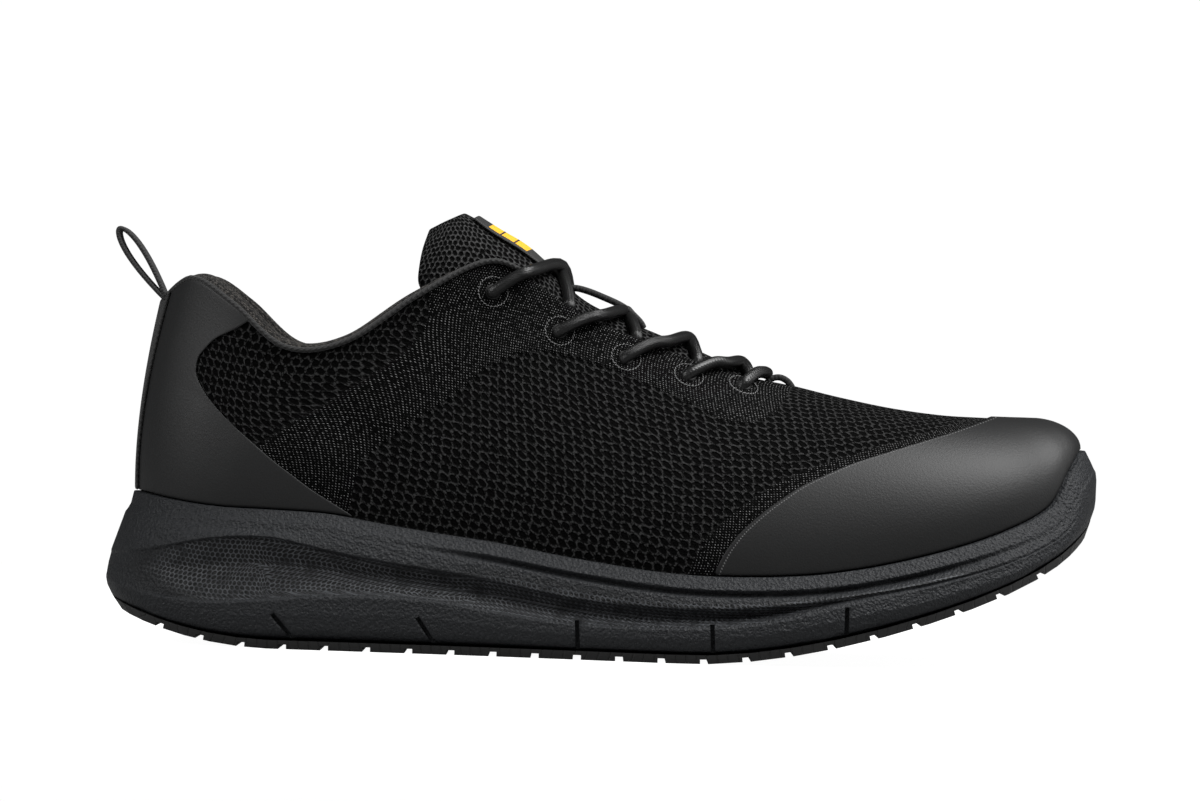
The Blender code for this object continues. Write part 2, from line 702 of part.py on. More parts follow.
def tongue_stations():
    """Stations of the tongue's sections under the flaps, two to each station of the upper."""
    count = int((TONGUE_FREE - TONGUE_ROOT) * STEPS_PER_STATION)
    return [TONGUE_ROOT + step / STEPS_PER_STATION for step in range(count + 1)]


def tongue_sections():
    """Sections of the tongue from its root under the vamp to its free top."""
    sections = []
    for station in tongue_stations():
        sections.append([(point, TONGUE) for point in tongue_section(station)])
    for row in TONGUE_TOP:
        crown = Vector((row.ahead * LENGTH, 0, row.rise * INSTEP_HEIGHT))
        points = []
        for step in range(-4, 5):
            turn = step / 4 * math.pi / 2
            bend = 1 - math.cos(turn)
            away = Vector((-row.back * BALL_WIDTH * bend, row.half * BALL_WIDTH * math.sin(turn),
                           -row.down * BALL_WIDTH * bend))
            points.append((crown + away, mix(TONGUE, TONGUE_PAD, row.pad)))
        sections.append(points)
    return sections


def make_tongue(finish):
    """The padded tongue, under the eyelet flaps and free above them."""
    mesh = bmesh.new()
    thickness = {}
    grid = []
    for section in tongue_sections():
        row = []
        for point, depth in section:
            thickness[len(thickness)] = depth
            row.append(mesh.verts.new(point))
        grid.append(row)
    join_rings(mesh, grid, closed=False)
    bmesh.ops.recalc_face_normals(mesh, faces=mesh.faces)
    mesh.verts.ensure_lookup_table()
    if grid[2][4].normal.z < 0:
        bmesh.ops.reverse_faces(mesh, faces=mesh.faces)
    thick_sheet(mesh, thickness, roll=EDGE_ROLL)
    place_mesh("tongue", mesh, finish)


def make_label(finish):
    """The woven label on the front of the tongue's top, bare of any words."""
    sections = tongue_sections()
    rows = [[point for point, _ in section[3:6]] for section in sections[-4:-1]]
    mesh = bmesh.new()
    grid = [[mesh.verts.new(point) for point in row] for row in rows]
    join_rings(mesh, grid, closed=False)
    bmesh.ops.recalc_face_normals(mesh, faces=mesh.faces)
    mesh.verts.ensure_lookup_table()
    if grid[1][1].normal.z < 0:
        bmesh.ops.reverse_faces(mesh, faces=mesh.faces)
    mesh.normal_update()
    lifts = [(vert, vert.normal.copy()) for vert in mesh.verts]
    for vert, normal in lifts:
        vert.co += normal * (3 * GAP + LABEL)
    thick_sheet(mesh, {index: LABEL for index in range(len(mesh.verts))})
    place_mesh("tongue_label", mesh, finish)


def tube(name, points, radius, finish):
    """A round cord through the points, with closed ends."""
    mesh = bmesh.new()
    sides = 8
    rings = []
    for index, point in enumerate(points):
        before, after = points[max(index - 1, 0)], points[min(index + 1, len(points) - 1)]
        turn = Vector((0, 0, 1)).rotation_difference(after - before)
        ring = []
        for side in range(sides):
            angle = 2 * math.pi * side / sides
            spoke = Vector((math.cos(angle), math.sin(angle), 0)) * radius
            ring.append(mesh.verts.new(point + turn @ spoke))
        rings.append(ring)
    join_rings(mesh, rings)
    mesh.faces.new(rings[0])
    mesh.faces.new(rings[-1])
    return place_mesh(name, mesh, finish)


def smooth_route(points, steps):
    """A smooth open route through the points."""
    padded = [points[0] * 2 - points[1], *points, points[-1] * 2 - points[-2]]
    route = []
    for index in range(1, len(padded) - 2):
        for step in range(steps):
            near = [tuple(point) for point in padded[index - 1:index + 3]]
            route.append(Vector(catmull_rom(near, 1 + step / steps)))
    return route + [points[-1]]


def crown_at(station):
    """The top of the tongue's middle line at a station."""
    stations = tongue_stations() + [row.station for row in TONGUE_TOP]
    middles = [section[4][0] for section in tongue_sections()]
    for low, high, first, second in zip(stations, stations[1:], middles, middles[1:]):
        if station <= high:
            return first.lerp(second, (station - low) / (high - low))
    return middles[-1]


LACE_UP = Vector((0.4, 0, 0.9))


def lace_start(station, side):
    """Where the lace leaves an eyelet, and where it passes over the edge of its flap."""
    radius = LACE / 2
    index = EYELETS.index(station) + (0 if side < 0 else len(EYELETS))
    place, normal = eyelet_places()[index]
    clear = radius + 2 * EYELET_CORD + 5 * GAP
    edge = upper_point(station if side < 0 else ROUND - station, 1.0)
    return [place + normal * clear, edge + LACE_UP * clear]


def lace_strand(side, near, far, lift):
    """A strand from one eyelet over the tongue to the edge of the other flap."""
    radius = LACE / 2
    middle = crown_at(mix(near, far, 0.5)) + LACE_UP * (radius + lift + 4 * GAP)
    stop = far + LACE_STOP
    last = upper_point(ROUND - stop if side < 0 else stop, 1.0)
    last.y *= 0.72
    last += LACE_UP * (radius + 4 * GAP)
    return smooth_route([*lace_start(near, side), middle, last], 3)


def make_laces(finish):
    """Four crossings and one straight bar at the front."""
    for index, (near, far) in enumerate(zip(EYELETS, EYELETS[1:])):
        name = f"lace_cross_{index + 1}"
        over = tube(name, lace_strand(-1, near, far, 0.4 * LACE), LACE / 2, finish)
        under = tube(f"{name}_under", lace_strand(1, near, far, 0.0), LACE / 2, finish)
        combine(over, under, "UNION")
    front = EYELETS[-1]
    middle = crown_at(front) + LACE_UP * (LACE / 2 + 5 * GAP)
    points = lace_start(front, -1) + [middle] + lace_start(front, 1)[::-1]
    tube("lace_front_bar", smooth_route(points, 3), LACE / 2, finish)


def webbing_arch(name, start, end, rise, width, finish):
    """A short webbing strip that arches between two seats."""
    mesh = bmesh.new()
    along = end - start
    up = Vector((-along.z, 0, along.x)).normalized()
    lower, upper = [], []
    steps = 8
    for step in range(steps + 1):
        share = step / steps
        bow = math.sin(math.pi * share) ** 0.5 * rise
        lower.append(start + along * share + up * bow)
        upper.append(start + along * share + up * (bow + WEBBING))
    profile = lower + upper[::-1]
    sides = []
    for side in (-1, 1):
        sides.append([mesh.verts.new(point + Vector((0, side * width / 2, 0))) for point in profile])
        mesh.faces.new(sides[-1])
    join_rings(mesh, sides)
    return place_mesh(name, mesh, finish)


def make_loops(finish):
    """The lace keeper on the tongue and the small loop at the foot of the throat."""
    middle = mix(EYELETS[1], EYELETS[2], 0.47)
    reach = 0.5 * KEEPER_LENGTH / ((crown_at(middle - 0.5) - crown_at(middle + 0.5)).length)
    seat = LACE_UP * 3 * GAP
    webbing_arch("lace_keeper", crown_at(middle + reach) + seat, crown_at(middle - reach) + seat,
                 KEEPER_RISE, KEEPER_WIDTH, finish)
    front = upper_point(VAMP_POINT - 0.08, 1.0) + LACE_UP * 2 * GAP
    back = upper_point(VAMP_POINT + 0.3, 1.0)
    back.y = 0.0
    webbing_arch("throat_loop", back + LACE_UP * 3 * GAP, front, THROAT_LOOP_RISE,
                 THROAT_LOOP_WIDTH, finish)


def make_heel_tape(finish):
    """Webbing down the back seam, over the heel counter."""
    mesh, _ = upper_skin([HEEL - 0.5, HEEL, HEEL + 0.5], SECTION_STEPS,
                         2 * GAP + FILM + GAP + WEBBING, closed=False)
    thick_sheet(mesh, {index: WEBBING for index in range(len(mesh.verts))})
    tape = place_mesh("heel_tape", mesh, finish)
    half = WEBBING_WIDTH / 2
    cutter = bmesh.new()
    size = Matrix.Diagonal((LENGTH, 2 * half, 2 * HEEL_HEIGHT, 1))
    centre = Matrix.Translation((-LENGTH / 2, 0, HEEL_HEIGHT))
    bmesh.ops.create_cube(cutter, size=1, matrix=centre @ size)
    combine(tape, place_mesh("heel_tape_width", cutter, finish), "INTERSECT")


def make_pull_loop(finish):
    """The folded webbing loop that stands on the back of the collar."""
    mesh = bmesh.new()
    foot = upper_point(HEEL, 1.0)
    foot = foot + Vector((-WEBBING, 0, EDGE_ROLL * COLLAR_PAD + 2 * GAP))
    tip = foot + Vector((-PULL_LEAN, 0, PULL_HEIGHT))
    along = tip - foot
    across = Vector((along.z, 0, -along.x)).normalized()
    outer, inner = [], []
    steps = 18
    for step in range(steps):
        angle = 2 * math.pi * step / steps
        share = (1 - math.cos(angle)) / 2
        bulge = math.sin(angle) * (0.25 + 0.75 * share) * PULL_WIDTH / 2
        outward = Vector((math.sin(angle) * across.x - math.cos(angle) * along.normalized().x, 0,
                          math.sin(angle) * across.z - math.cos(angle) * along.normalized().z))
        centre = foot + along * share + across * bulge
        outer.append(centre + outward * WEBBING / 2)
        inner.append(centre - outward * WEBBING / 2)
    rings = []
    for side in (-1, 1):
        shift = Vector((0, side * WEBBING_WIDTH / 2, 0))
        rings.append([mesh.verts.new(point + shift) for point in outer])
        rings.append([mesh.verts.new(point + shift) for point in inner])
    join_rings(mesh, [rings[1], rings[0], rings[2], rings[3], rings[1]])
    place_mesh("pull_loop", mesh, finish)


def main():
    """Build the shoe from its sole up."""
    for old in list(bpy.data.objects):
        bpy.data.objects.remove(old, do_unlink=True)
    rubber = material("outsole_rubber", (0.012, 0.012, 0.013), 0.6)
    foam = material("midsole_foam", (0.022, 0.023, 0.025), 0.55)
    knit = material("black_knit", (0.010, 0.010, 0.011), 0.9)
    film = material("smooth_film", (0.020, 0.021, 0.023), 0.5)
    cord = material("waxed_lace", (0.012, 0.012, 0.013), 0.35)
    webbing = material("webbing", (0.014, 0.014, 0.015), 0.8)
    make_outsole(rubber)
    make_midsole(foam)
    make_insole(knit)
    make_upper(knit)
    make_toe_guard(film)
    make_heel_counter(film)
    make_tongue(knit)
    make_label(webbing)
    make_eyelets(cord)
    make_laces(cord)
    make_loops(webbing)
    make_heel_tape(webbing)
    make_pull_loop(webbing)


main()
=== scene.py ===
"""Looks of the safety sneaker: knit, film, foam, rubber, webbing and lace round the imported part.

Metres. +X is the toe, -Y the outer side, +Y the inner side, +Z up, and the floor is z = 0.
Stations run round the shoe: 0 is the toe tip, HEEL the back of the heel, the outer side lies
between them, and the inner side is numbered on from HEEL back to the toe.
"""
import logging
import math
from collections.abc import Callable, Sequence
from dataclasses import dataclass
from enum import Enum
from functools import lru_cache
from typing import Any, NamedTuple

import bmesh
import bpy
from mathutils import Matrix, Vector


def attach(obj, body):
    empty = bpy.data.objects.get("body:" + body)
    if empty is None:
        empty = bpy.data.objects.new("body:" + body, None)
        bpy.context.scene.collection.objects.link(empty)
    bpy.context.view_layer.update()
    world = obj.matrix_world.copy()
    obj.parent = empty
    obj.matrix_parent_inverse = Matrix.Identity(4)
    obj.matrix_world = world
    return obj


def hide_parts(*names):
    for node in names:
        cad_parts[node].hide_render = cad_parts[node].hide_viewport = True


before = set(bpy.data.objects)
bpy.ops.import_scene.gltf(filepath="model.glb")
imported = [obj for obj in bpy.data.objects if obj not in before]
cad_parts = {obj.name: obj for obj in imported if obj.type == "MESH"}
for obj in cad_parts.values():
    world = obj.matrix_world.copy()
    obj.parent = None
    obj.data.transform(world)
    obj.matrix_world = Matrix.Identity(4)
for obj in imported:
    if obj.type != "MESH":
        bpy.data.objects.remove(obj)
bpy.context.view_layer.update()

Line = tuple[tuple[float, float], ...]
Place = tuple[float, float, float]
Grid = Sequence[Sequence[Vector]]
Tones = Sequence[Sequence[float]]
Socket = bpy.types.NodeSocket
Skin = bpy.types.Material

LOG = logging.getLogger("safety_sneaker")
BODY = "root"
WELD = 1e-6
FINE = 1e-7
HALVINGS = 30


class SideRow(NamedTuple):
    """One station of the sole's side, in shares as in the part's own source."""

    ahead: float
    outer: float
    inner: float
    rim: float
    shelf: float
    ridge: float
    carve: float
    slit: float
    toe: float
    heel: float


class TopRow(NamedTuple):
    """One station of the upper's top line, in shares."""

    ahead: float
    spread: float
    rise: float
    swell: float
    steep: float
    crown: float
    fall: float


class Inset(NamedTuple):
    """How far an edge of the side lies inside the outline, as shares of the flare."""

    toe: float
    side: float
    heel: float


SIDE = tuple(SideRow(*row) for row in (
    (0.500, -0.030, 0.030, 1.467, 1.278, 1.144, 0.0, 0.0, 1.00, 0.0),
    (0.4955, 0.085, 0.140, 1.455, 1.245, 1.120, 0.0, 0.0, 0.95, 0.0),
    (0.484, 0.180, 0.232, 1.345, 1.150, 1.060, 0.0, 0.0, 0.80, 0.0),
    (0.460, 0.277, 0.314, 1.090, 0.925, 0.880, 0.0, 0.0, 0.50, 0.0),
    (0.407, 0.380, 0.402, 0.915, 0.742, 0.700, 0.0, 0.3, 0.20, 0.0),
    (0.327, 0.452, 0.471, 0.750, 0.582, 0.530, 0.0, 1.0, 0.05, 0.0),
    (0.235, 0.486, 0.4915, 0.622, 0.462, 0.395, 0.4, 1.0, 0.00, 0.0),
    (0.150, 0.492, 0.474, 0.576, 0.380, 0.262, 1.0, 1.0, 0.00, 0.0),
    (0.065, 0.482, 0.423, 0.585, 0.365, 0.222, 1.0, 1.0, 0.00, 0.0),
    (-0.027, 0.441, 0.368, 0.657, 0.405, 0.228, 1.0, 1.0, 0.00, 0.0),
    (-0.107, 0.409, 0.339, 0.745, 0.502, 0.290, 1.0, 0.8, 0.00, 0.0),
    (-0.167, 0.395, 0.336, 0.795, 0.560, 0.348, 1.0, 0.2, 0.00, 0.0),
    (-0.220, 0.388, 0.340, 0.845, 0.606, 0.360, 1.0, 0.0, 0.00, 0.05),
    (-0.273, 0.382, 0.346, 0.898, 0.668, 0.353, 1.0, 0.0, 0.00, 0.10),
    (-0.330, 0.373, 0.350, 0.914, 0.740, 0.320, 1.0, 0.0, 0.00, 0.20),
    (-0.388, 0.348, 0.338, 0.923, 0.722, 0.294, 0.9, 0.0, 0.00, 0.40),
    (-0.442, 0.283, 0.279, 0.955, 0.650, 0.318, 0.6, 0.0, 0.00, 0.70),
    (-0.483, 0.164, 0.164, 0.990, 0.605, 0.385, 0.2, 0.0, 0.00, 0.95),
    (-0.500, 0.000, 0.000, 1.000, 0.600, 0.410, 0.0, 0.0, 0.00, 1.00),
))
TOE_BOX = tuple(TopRow(*row) for row in (
    (0.433, 0.000, 0.986, 0.000, 0.60, 0.50, 0.00),
    (0.421, 0.000, 0.986, 0.004, 0.60, 0.50, 0.00),
    (0.403, 0.000, 0.986, 0.008, 0.60, 0.52, 0.00),
    (0.377, 0.000, 0.987, 0.016, 0.62, 0.55, 0.00),
    (0.337, 0.000, 0.992, 0.026, 0.62, 0.55, 0.00),
    (0.287, 0.000, 1.014, 0.030, 0.58, 0.55, 0.00),
    (0.233, 0.000, 1.053, 0.030, 0.52, 0.54, 0.00),
    (0.186, 0.000, 1.094, 0.030, 0.48, 0.52, 0.02),
))
THROAT = tuple(TopRow(*row) for row in (
    (0.125, 0.088, 0.741, 0.030, 0.46, 0.50, 0.08),
    (0.044, 0.140, 0.808, 0.030, 0.44, 0.48, 0.15),
    (-0.030, 0.175, 0.884, 0.030, 0.42, 0.46, 0.20),
    (-0.088, 0.210, 0.978, 0.034, 0.40, 0.42, 0.24),
    (-0.127, 0.242, 0.996, 0.036, 0.38, 0.38, 0.27),
))
COLLAR = tuple(TopRow(*row) for row in (
    (-0.190, 0.285, 1.030, 0.038, 0.36, 0.32, 0.30),
    (-0.260, 0.312, 0.889, 0.038, 0.35, 0.28, 0.32),
    (-0.320, 0.300, 0.868, 0.036, 0.34, 0.28, 0.32),
    (-0.374, 0.248, 0.990, 0.026, 0.33, 0.34, 0.32),
    (-0.417, 0.145, 1.062, 0.014, 0.33, 0.50, 0.32),
    (-0.4487, 0.000, 1.000, 0.006, 0.33, 0.65, 0.33),
))
HEEL = len(SIDE) - 1
ROUND = 2 * HEEL
VAMP_POINT = len(TOE_BOX) - 1
CORNER = len(TOE_BOX) + len(THROAT) - 1
EYELETS = (11.35, 10.05, 9.13, 8.38, 7.66)

RIM = Inset(0.60, 1.00, 1.18)
LEDGE = Inset(0.29, 0.55, 1.05)
SLIT = Inset(0.12, 0.60, 0.88)
RIB = Inset(0.08, 0.42, 0.80)
SHELF = Inset(0.03, 0.26, 0.20)
HOLLOW = Inset(0.00, 0.36, 0.02)
RIDGE = Inset(0.04, 0.10, 0.00)
BAND = Inset(0.08, 0.00, 0.06)
PARTING = Inset(0.25, 0.20, 0.30)

TOE_GUARD_EDGE = (
    (0.108, 0.30), (0.112, 0.36), (0.121, 0.435), (0.136, 0.515), (0.160, 0.60),
    (0.193, 0.695), (0.241, 0.785), (0.290, 0.850), (0.338, 0.910), (0.387, 0.978), (0.404, 1.02),
)
COUNTER_EDGE = (
    (-0.214, 0.33), (-0.249, 0.393), (-0.289, 0.461), (-0.329, 0.544), (-0.370, 0.641),
    (-0.395, 0.710), (-0.409, 0.780), (-0.408, 0.832), (-0.391, 0.888), (-0.368, 0.920),
    (-0.345, 0.965), (-0.330, 1.04),
)


def catmull_rom(rows: Sequence[Sequence[float]], place: float) -> list[float]:
    """Every column at a place on a closed smooth curve through the rows.

    Args:
        rows: The rows that the curve passes through.
        place: A real-valued row number.

    Returns:
        One value for each column.
    """
    first = math.floor(place)
    t = place - first
    weights = (
        (-t ** 3 + 2 * t ** 2 - t) / 2,
        (3 * t ** 3 - 5 * t ** 2 + 2) / 2,
        (-3 * t ** 3 + 4 * t ** 2 + t) / 2,
        (t ** 3 - t ** 2) / 2,
    )
    near = [rows[(first + step) % len(rows)] for step in (-1, 0, 1, 2)]
    return [sum(w * value for w, value in zip(weights, column)) for column in zip(*near)]


def smooth(value: float, start: float, end: float) -> float:
    """0 before start, 1 past end, and an even slope between."""
    t = min(1.0, max(0.0, (value - start) / (end - start)))
    return t * t * (3 - 2 * t)


def mix(first: float, second: float, share: float) -> float:
    """The value a share of the way from first to second."""
    return first + (second - first) * share


def shares(count: int) -> list[float]:
    """Evenly spaced shares from 0 to 1."""
    return [step / (count - 1) for step in range(count)]


def polyline_at(points: Sequence[tuple[float, float]], height: float) -> float:
    """The ahead value of an edge line at a height, held level past its ends.

    Args:
        points: (ahead, height) pairs with rising heights.
        height: Where the line is read.

    Returns:
        The ahead value there.
    """
    if height <= points[0][1]:
        return points[0][0]
    for (ahead, low), (after, high) in zip(points, points[1:]):
        if height <= high:
            return mix(ahead, after, (height - low) / (high - low))
    return points[-1][0]


def last_passing(test: Callable[[float], bool], low: float, high: float) -> float:
    """The greatest value that passes a test, found by halving.

    Args:
        test: Passes at low and fails at high, and changes once between.
        low: The least value.
        high: The greatest value.

    Returns:
        The value.
    """
    for _ in range(HALVINGS):
        middle = (low + high) / 2
        if test(middle):
            low = middle
        else:
            high = middle
    return low


def smooth_route(points: Sequence[Vector], steps: int) -> list[Vector]:
    """A smooth open route through the points.

    Args:
        points: The places that the route passes.
        steps: How many pieces each stretch is cut into.

    Returns:
        The points of the route.
    """
    padded = [points[0] * 2 - points[1], *points, points[-1] * 2 - points[-2]]
    route = []
    for index in range(1, len(padded) - 2):
        near = [tuple(point) for point in padded[index - 1:index + 3]]
        route += [Vector(catmull_rom(near, 1 + step / steps)) for step in range(steps)]
    return route + [points[-1]]


@dataclass(frozen=True)
class Last:
    """The form under the whole shoe: plan of the sole, sections of the upper, and its top line."""

    length: float = 0.300
    ball_width: float = 0.110
    toe_height: float = 0.0761
    instep_height: float = 0.117
    heel_height: float = 0.103
    rim_rise: float = 0.045
    flare: float = 0.0065
    lip: float = 0.0016
    tuck: float = 0.0030
    gap: float = 0.0003
    heel_bed: float = 0.027
    forefoot_bed: float = 0.0135
    toe_spring: float = 0.036
    toe_curl: float = 0.009
    heel_lift: float = 0.0114
    arch_rise: float = 0.0028
    wall: float = 0.0020
    collar_pad: float = 0.0070
    toe_start: float = 0.093
    heel_start: float = 0.327
    arch_back: tuple[float, float] = (-0.27, -0.14)
    arch_front: tuple[float, float] = (-0.06, 0.05)
    arch_side: tuple[float, float] = (-0.15, 0.3)
    bed_slope: tuple[float, float] = (-0.32, 0.12)
    bed_spring: float = 0.8
    eyelet_inset: float = 0.0090

    @lru_cache(maxsize=None)
    def side_loop(self) -> tuple[SideRow, ...]:
        """The side rows all round, with outer and inner as one signed width."""
        outer = [row._replace(outer=-row.outer) for row in SIDE]
        inner = [row._replace(outer=row.inner) for row in SIDE[-2:0:-1]]
        return tuple(outer + inner)

    @lru_cache(maxsize=None)
    def top_loop(self) -> tuple[TopRow, ...]:
        """The top line all round, with its heights in metres."""
        rows = [row._replace(rise=row.rise * self.toe_height) for row in TOE_BOX]
        rows += [row._replace(rise=row.rise * self.instep_height) for row in THROAT]
        rows += [row._replace(rise=row.rise * self.heel_height) for row in COLLAR]
        return tuple(rows + rows[-2:0:-1])

    @lru_cache(maxsize=None)
    def side_at(self, station: float) -> SideRow:
        """The side row at a station."""
        return SideRow(*catmull_rom(self.side_loop(), station))

    def plan_point(self, station: float) -> Vector:
        """A point of the widest outline of the sole."""
        row = self.side_at(station)
        return Vector((row.ahead * self.length, row.outer * self.ball_width))

    @lru_cache(maxsize=None)
    def outward(self, station: float) -> Vector:
        """The outward direction of the plan at a station."""
        along = self.plan_point(station + 0.05) - self.plan_point(station - 0.05)
        return Vector((-along.y, along.x)).normalized()

    def outline(self, station: float, inset: float = 0.0) -> Vector:
        """A point of the plan, set in from the widest outline."""
        return self.plan_point(station) - self.outward(station) * inset

    def inset_at(self, station: float, edge: Inset) -> float:
        """How far an edge of the side lies inside the outline at a station."""
        row = self.side_at(station)
        share = edge.side + (edge.toe - edge.side) * row.toe + (edge.heel - edge.side) * row.heel
        return share * self.flare

    def within(self, value: float, ends: tuple[float, float]) -> float:
        """A smooth step along the shoe between two shares of its length."""
        return smooth(value, ends[0] * self.length, ends[1] * self.length)

    def ground(self, x: float, y: float) -> float:
        """Height of the tread: flat from heel to ball, lifted at the heel, toe and inner arch."""
        half = self.length / 2
        toe_start = self.toe_start * self.length
        heel_start = self.heel_start * self.length
        toe = max(0.0, (x - toe_start) / (half - toe_start))
        heel = max(0.0, (-x - heel_start) / (half - heel_start))
        arch = self.within(x, self.arch_back) * (1 - self.within(x, self.arch_front))
        low, high = self.arch_side
        arch *= smooth(y, low * self.ball_width, high * self.ball_width)
        lifted = self.toe_spring * toe ** 1.7 + self.toe_curl * toe ** 12
        return lifted + self.heel_lift * heel ** 1.9 + self.arch_rise * arch

    def bed(self, x: float) -> float:
        """Height of the foot bed inside the midsole."""
        heel = 1 - self.within(x, self.bed_slope)
        drop = self.heel_bed - self.forefoot_bed
        spring = self.ground(max(x, 0.0), -self.ball_width)
        return self.forefoot_bed + drop * heel + self.bed_spring * spring

    def rim_height(self, station: float) -> float:
        """Height of the midsole's top edge."""
        return self.side_at(station).rim * self.rim_rise

    @lru_cache(maxsize=None)
    def top_line(self, station: float) -> tuple[Vector, TopRow]:
        """The ridge, throat edge or collar edge at a station, on the outer face."""
        row = TopRow(*catmull_rom(self.top_loop(), station))
        spread = row.spread if self.from_toe(station) > VAMP_POINT else 0.0
        side = -1 if station % ROUND < HEEL else 1
        return Vector((row.ahead * self.length, side * spread * self.ball_width, row.rise)), row

    @staticmethod
    def from_toe(station: float) -> float:
        """Stations between the toe tip and this one, on either side."""
        return min(station % ROUND, ROUND - station % ROUND)

    @lru_cache(maxsize=None)
    def section(self, station: float) -> tuple[Vector, Vector, Vector, Vector]:
        """The four control points of the upper's section at a station."""
        inset = self.inset_at(station, RIM) + self.lip + self.gap
        place = self.outline(station, inset)
        foot = Vector((place.x, place.y, self.rim_height(station) + self.gap))
        outward = self.outward(station)
        top, row = self.top_line(station)
        height = top.z - foot.z
        low = foot + Vector((outward.x, outward.y, 0)) * row.swell * self.ball_width
        low.z += row.steep * height
        high = top + Vector((foot.x - top.x, foot.y - top.y, 0)) * row.crown
        high.z -= row.fall * height
        return foot, low, high, top

    def upper_point(self, station: float, share: float) -> Vector:
        """A point of the upper's outer face, from the feather line at 0 to the top line at 1."""
        foot, low, high, top = self.section(station)
        rest = 1 - share
        near = rest ** 3 * foot + 3 * rest ** 2 * share * low
        return near + 3 * rest * share ** 2 * high + share ** 3 * top

    def upper_normal(self, station: float, share: float) -> Vector:
        """The outward direction of the upper's outer face."""
        near = max(0.02, min(0.98, share))
        ahead = self.upper_point(station + 0.05, near)
        across = ahead - self.upper_point(station - 0.05, near)
        up = self.upper_point(station, near + 0.02) - self.upper_point(station, near - 0.02)
        return up.cross(across).normalized()

    def wall_at(self, station: float, share: float) -> float:
        """Thickness of the upper: one wall, padded round the collar."""
        along = smooth(self.from_toe(station), CORNER - 0.4, CORNER + 1.6)
        return self.wall + (self.collar_pad - self.wall) * along * smooth(share, 0.35, 0.9)

    def under(self, station: float, share: float, depth: float) -> Vector:
        """A point below the upper's inner face."""
        normal = self.upper_normal(station, share)
        return self.upper_point(station, share) - normal * (self.wall_at(station, share) + depth)

    @lru_cache(maxsize=None)
    def eyelet(self, station: float, side: int) -> tuple[Vector, Vector]:
        """Centre and outward normal of an eyelet, on the outer side at -1 or the inner at +1."""
        at = station if side < 0 else ROUND - station
        share = 1.0
        while (self.upper_point(at, share) - self.upper_point(at, 1.0)).length < self.eyelet_inset:
            share -= 0.005
        return self.upper_point(at, share), self.upper_normal(at, share)


LAST = Last()


class Finish(Enum):
    """The record's material slots, passed along with the visual pieces."""

    FOAM = "foam"
    KNIT = "knit"
    FILM = "film"
    CORD = "cord"
    WEBBING = "webbing"


def add_grid(
    mesh: bmesh.types.BMesh,
    points: Grid,
    tone: Tones | None = None,
) -> None:
    """Add a grid whose vertices are moved to the given places, with a UV map in metres.

    Args:
        mesh: The mesh that the grid is added to.
        points: Columns of places. u runs along the columns and v up each of them.
        tone: A value for each place, kept as the vertex attribute "tone".
    """
    columns, rows = len(points), len(points[0])
    uv_layer = mesh.loops.layers.uv.verify()
    tone_layer = mesh.verts.layers.float.get("tone") or mesh.verts.layers.float.new("tone")
    lengths_u = [[0.0] * rows for _ in range(columns)]
    lengths_v = [[0.0] * rows for _ in range(columns)]
    for i in range(columns):
        for j in range(rows):
            if i:
                lengths_u[i][j] = lengths_u[i - 1][j] + (points[i][j] - points[i - 1][j]).length
            if j:
                lengths_v[i][j] = lengths_v[i][j - 1] + (points[i][j] - points[i][j - 1]).length
    made = bmesh.ops.create_grid(mesh, x_segments=columns - 1, y_segments=rows - 1, size=0.5)
    spots = {}
    for vert in made["verts"]:
        i = round((vert.co.x + 0.5) * (columns - 1))
        j = round((vert.co.y + 0.5) * (rows - 1))
        spots[vert] = (i, j)
    for vert, (i, j) in spots.items():
        vert.co = points[i][j]
        if tone is not None:
            vert[tone_layer] = tone[i][j]
    for face in {face for vert in made["verts"] for face in vert.link_faces}:
        for loop in face.loops:
            i, j = spots[loop.vert]
            middle = lengths_u[-1][j] / 2
            loop[uv_layer].uv = (lengths_u[i][j] - middle, lengths_v[i][j])


def grid_mesh(
    points: Grid,
    tone: Tones | None = None,
    flip: bool = False,
) -> bmesh.types.BMesh:
    """A new mesh of one grid.

    Args:
        points: Columns of places.
        tone: A value for each place.
        flip: Whether the faces are turned over.

    Returns:
        The mesh.
    """
    mesh = bmesh.new()
    add_grid(mesh, points, tone)
    if flip:
        bmesh.ops.reverse_faces(mesh, faces=mesh.faces)
    return mesh


def tube_mesh(route: Sequence[Vector], radius: float, sides: int) -> bmesh.types.BMesh:
    """A new mesh of a round cord along a route, with closed ends.

    Args:
        route: The points of its middle line.
        radius: Its radius.
        sides: Faces round it.

    Returns:
        The mesh.
    """
    columns = []
    side = Vector((0, 1, 0))
    for index, point in enumerate(route):
        before, after = route[max(index - 1, 0)], route[min(index + 1, len(route) - 1)]
        along = (after - before).normalized()
        side = (side - along * side.dot(along)).normalized()
        up = along.cross(side)
        angles = [2 * math.pi * step / sides for step in range(sides + 1)]
        columns.append([point + (side * math.cos(angle) + up * math.sin(angle)) * radius
                        for angle in angles])
    mesh = grid_mesh(columns)
    bmesh.ops.remove_doubles(mesh, verts=mesh.verts, dist=FINE)
    ends = [edge for edge in mesh.edges if edge.is_boundary]
    bmesh.ops.holes_fill(mesh, edges=ends, sides=sides)
    return mesh


def strip(line: Sequence[Vector], width: float) -> Grid:
    """Places of a webbing strip that keeps to a line in the side view."""
    return [[point + Vector((0, width * (step - 0.5), 0)) for point in line] for step in shares(9)]


def add_object(name: str, data: Any) -> bpy.types.Object:
    """Add an object to the scene, at the origin."""
    made = bpy.data.objects.new(name, data)
    bpy.context.scene.collection.objects.link(made)
    return made


def mesh_object(name: str, mesh: bmesh.types.BMesh) -> bpy.types.Object:
    """Turn a mesh, which is freed, into an object of the scene."""
    data = bpy.data.meshes.new(name)
    mesh.to_mesh(data)
    mesh.free()
    return add_object(name, data)


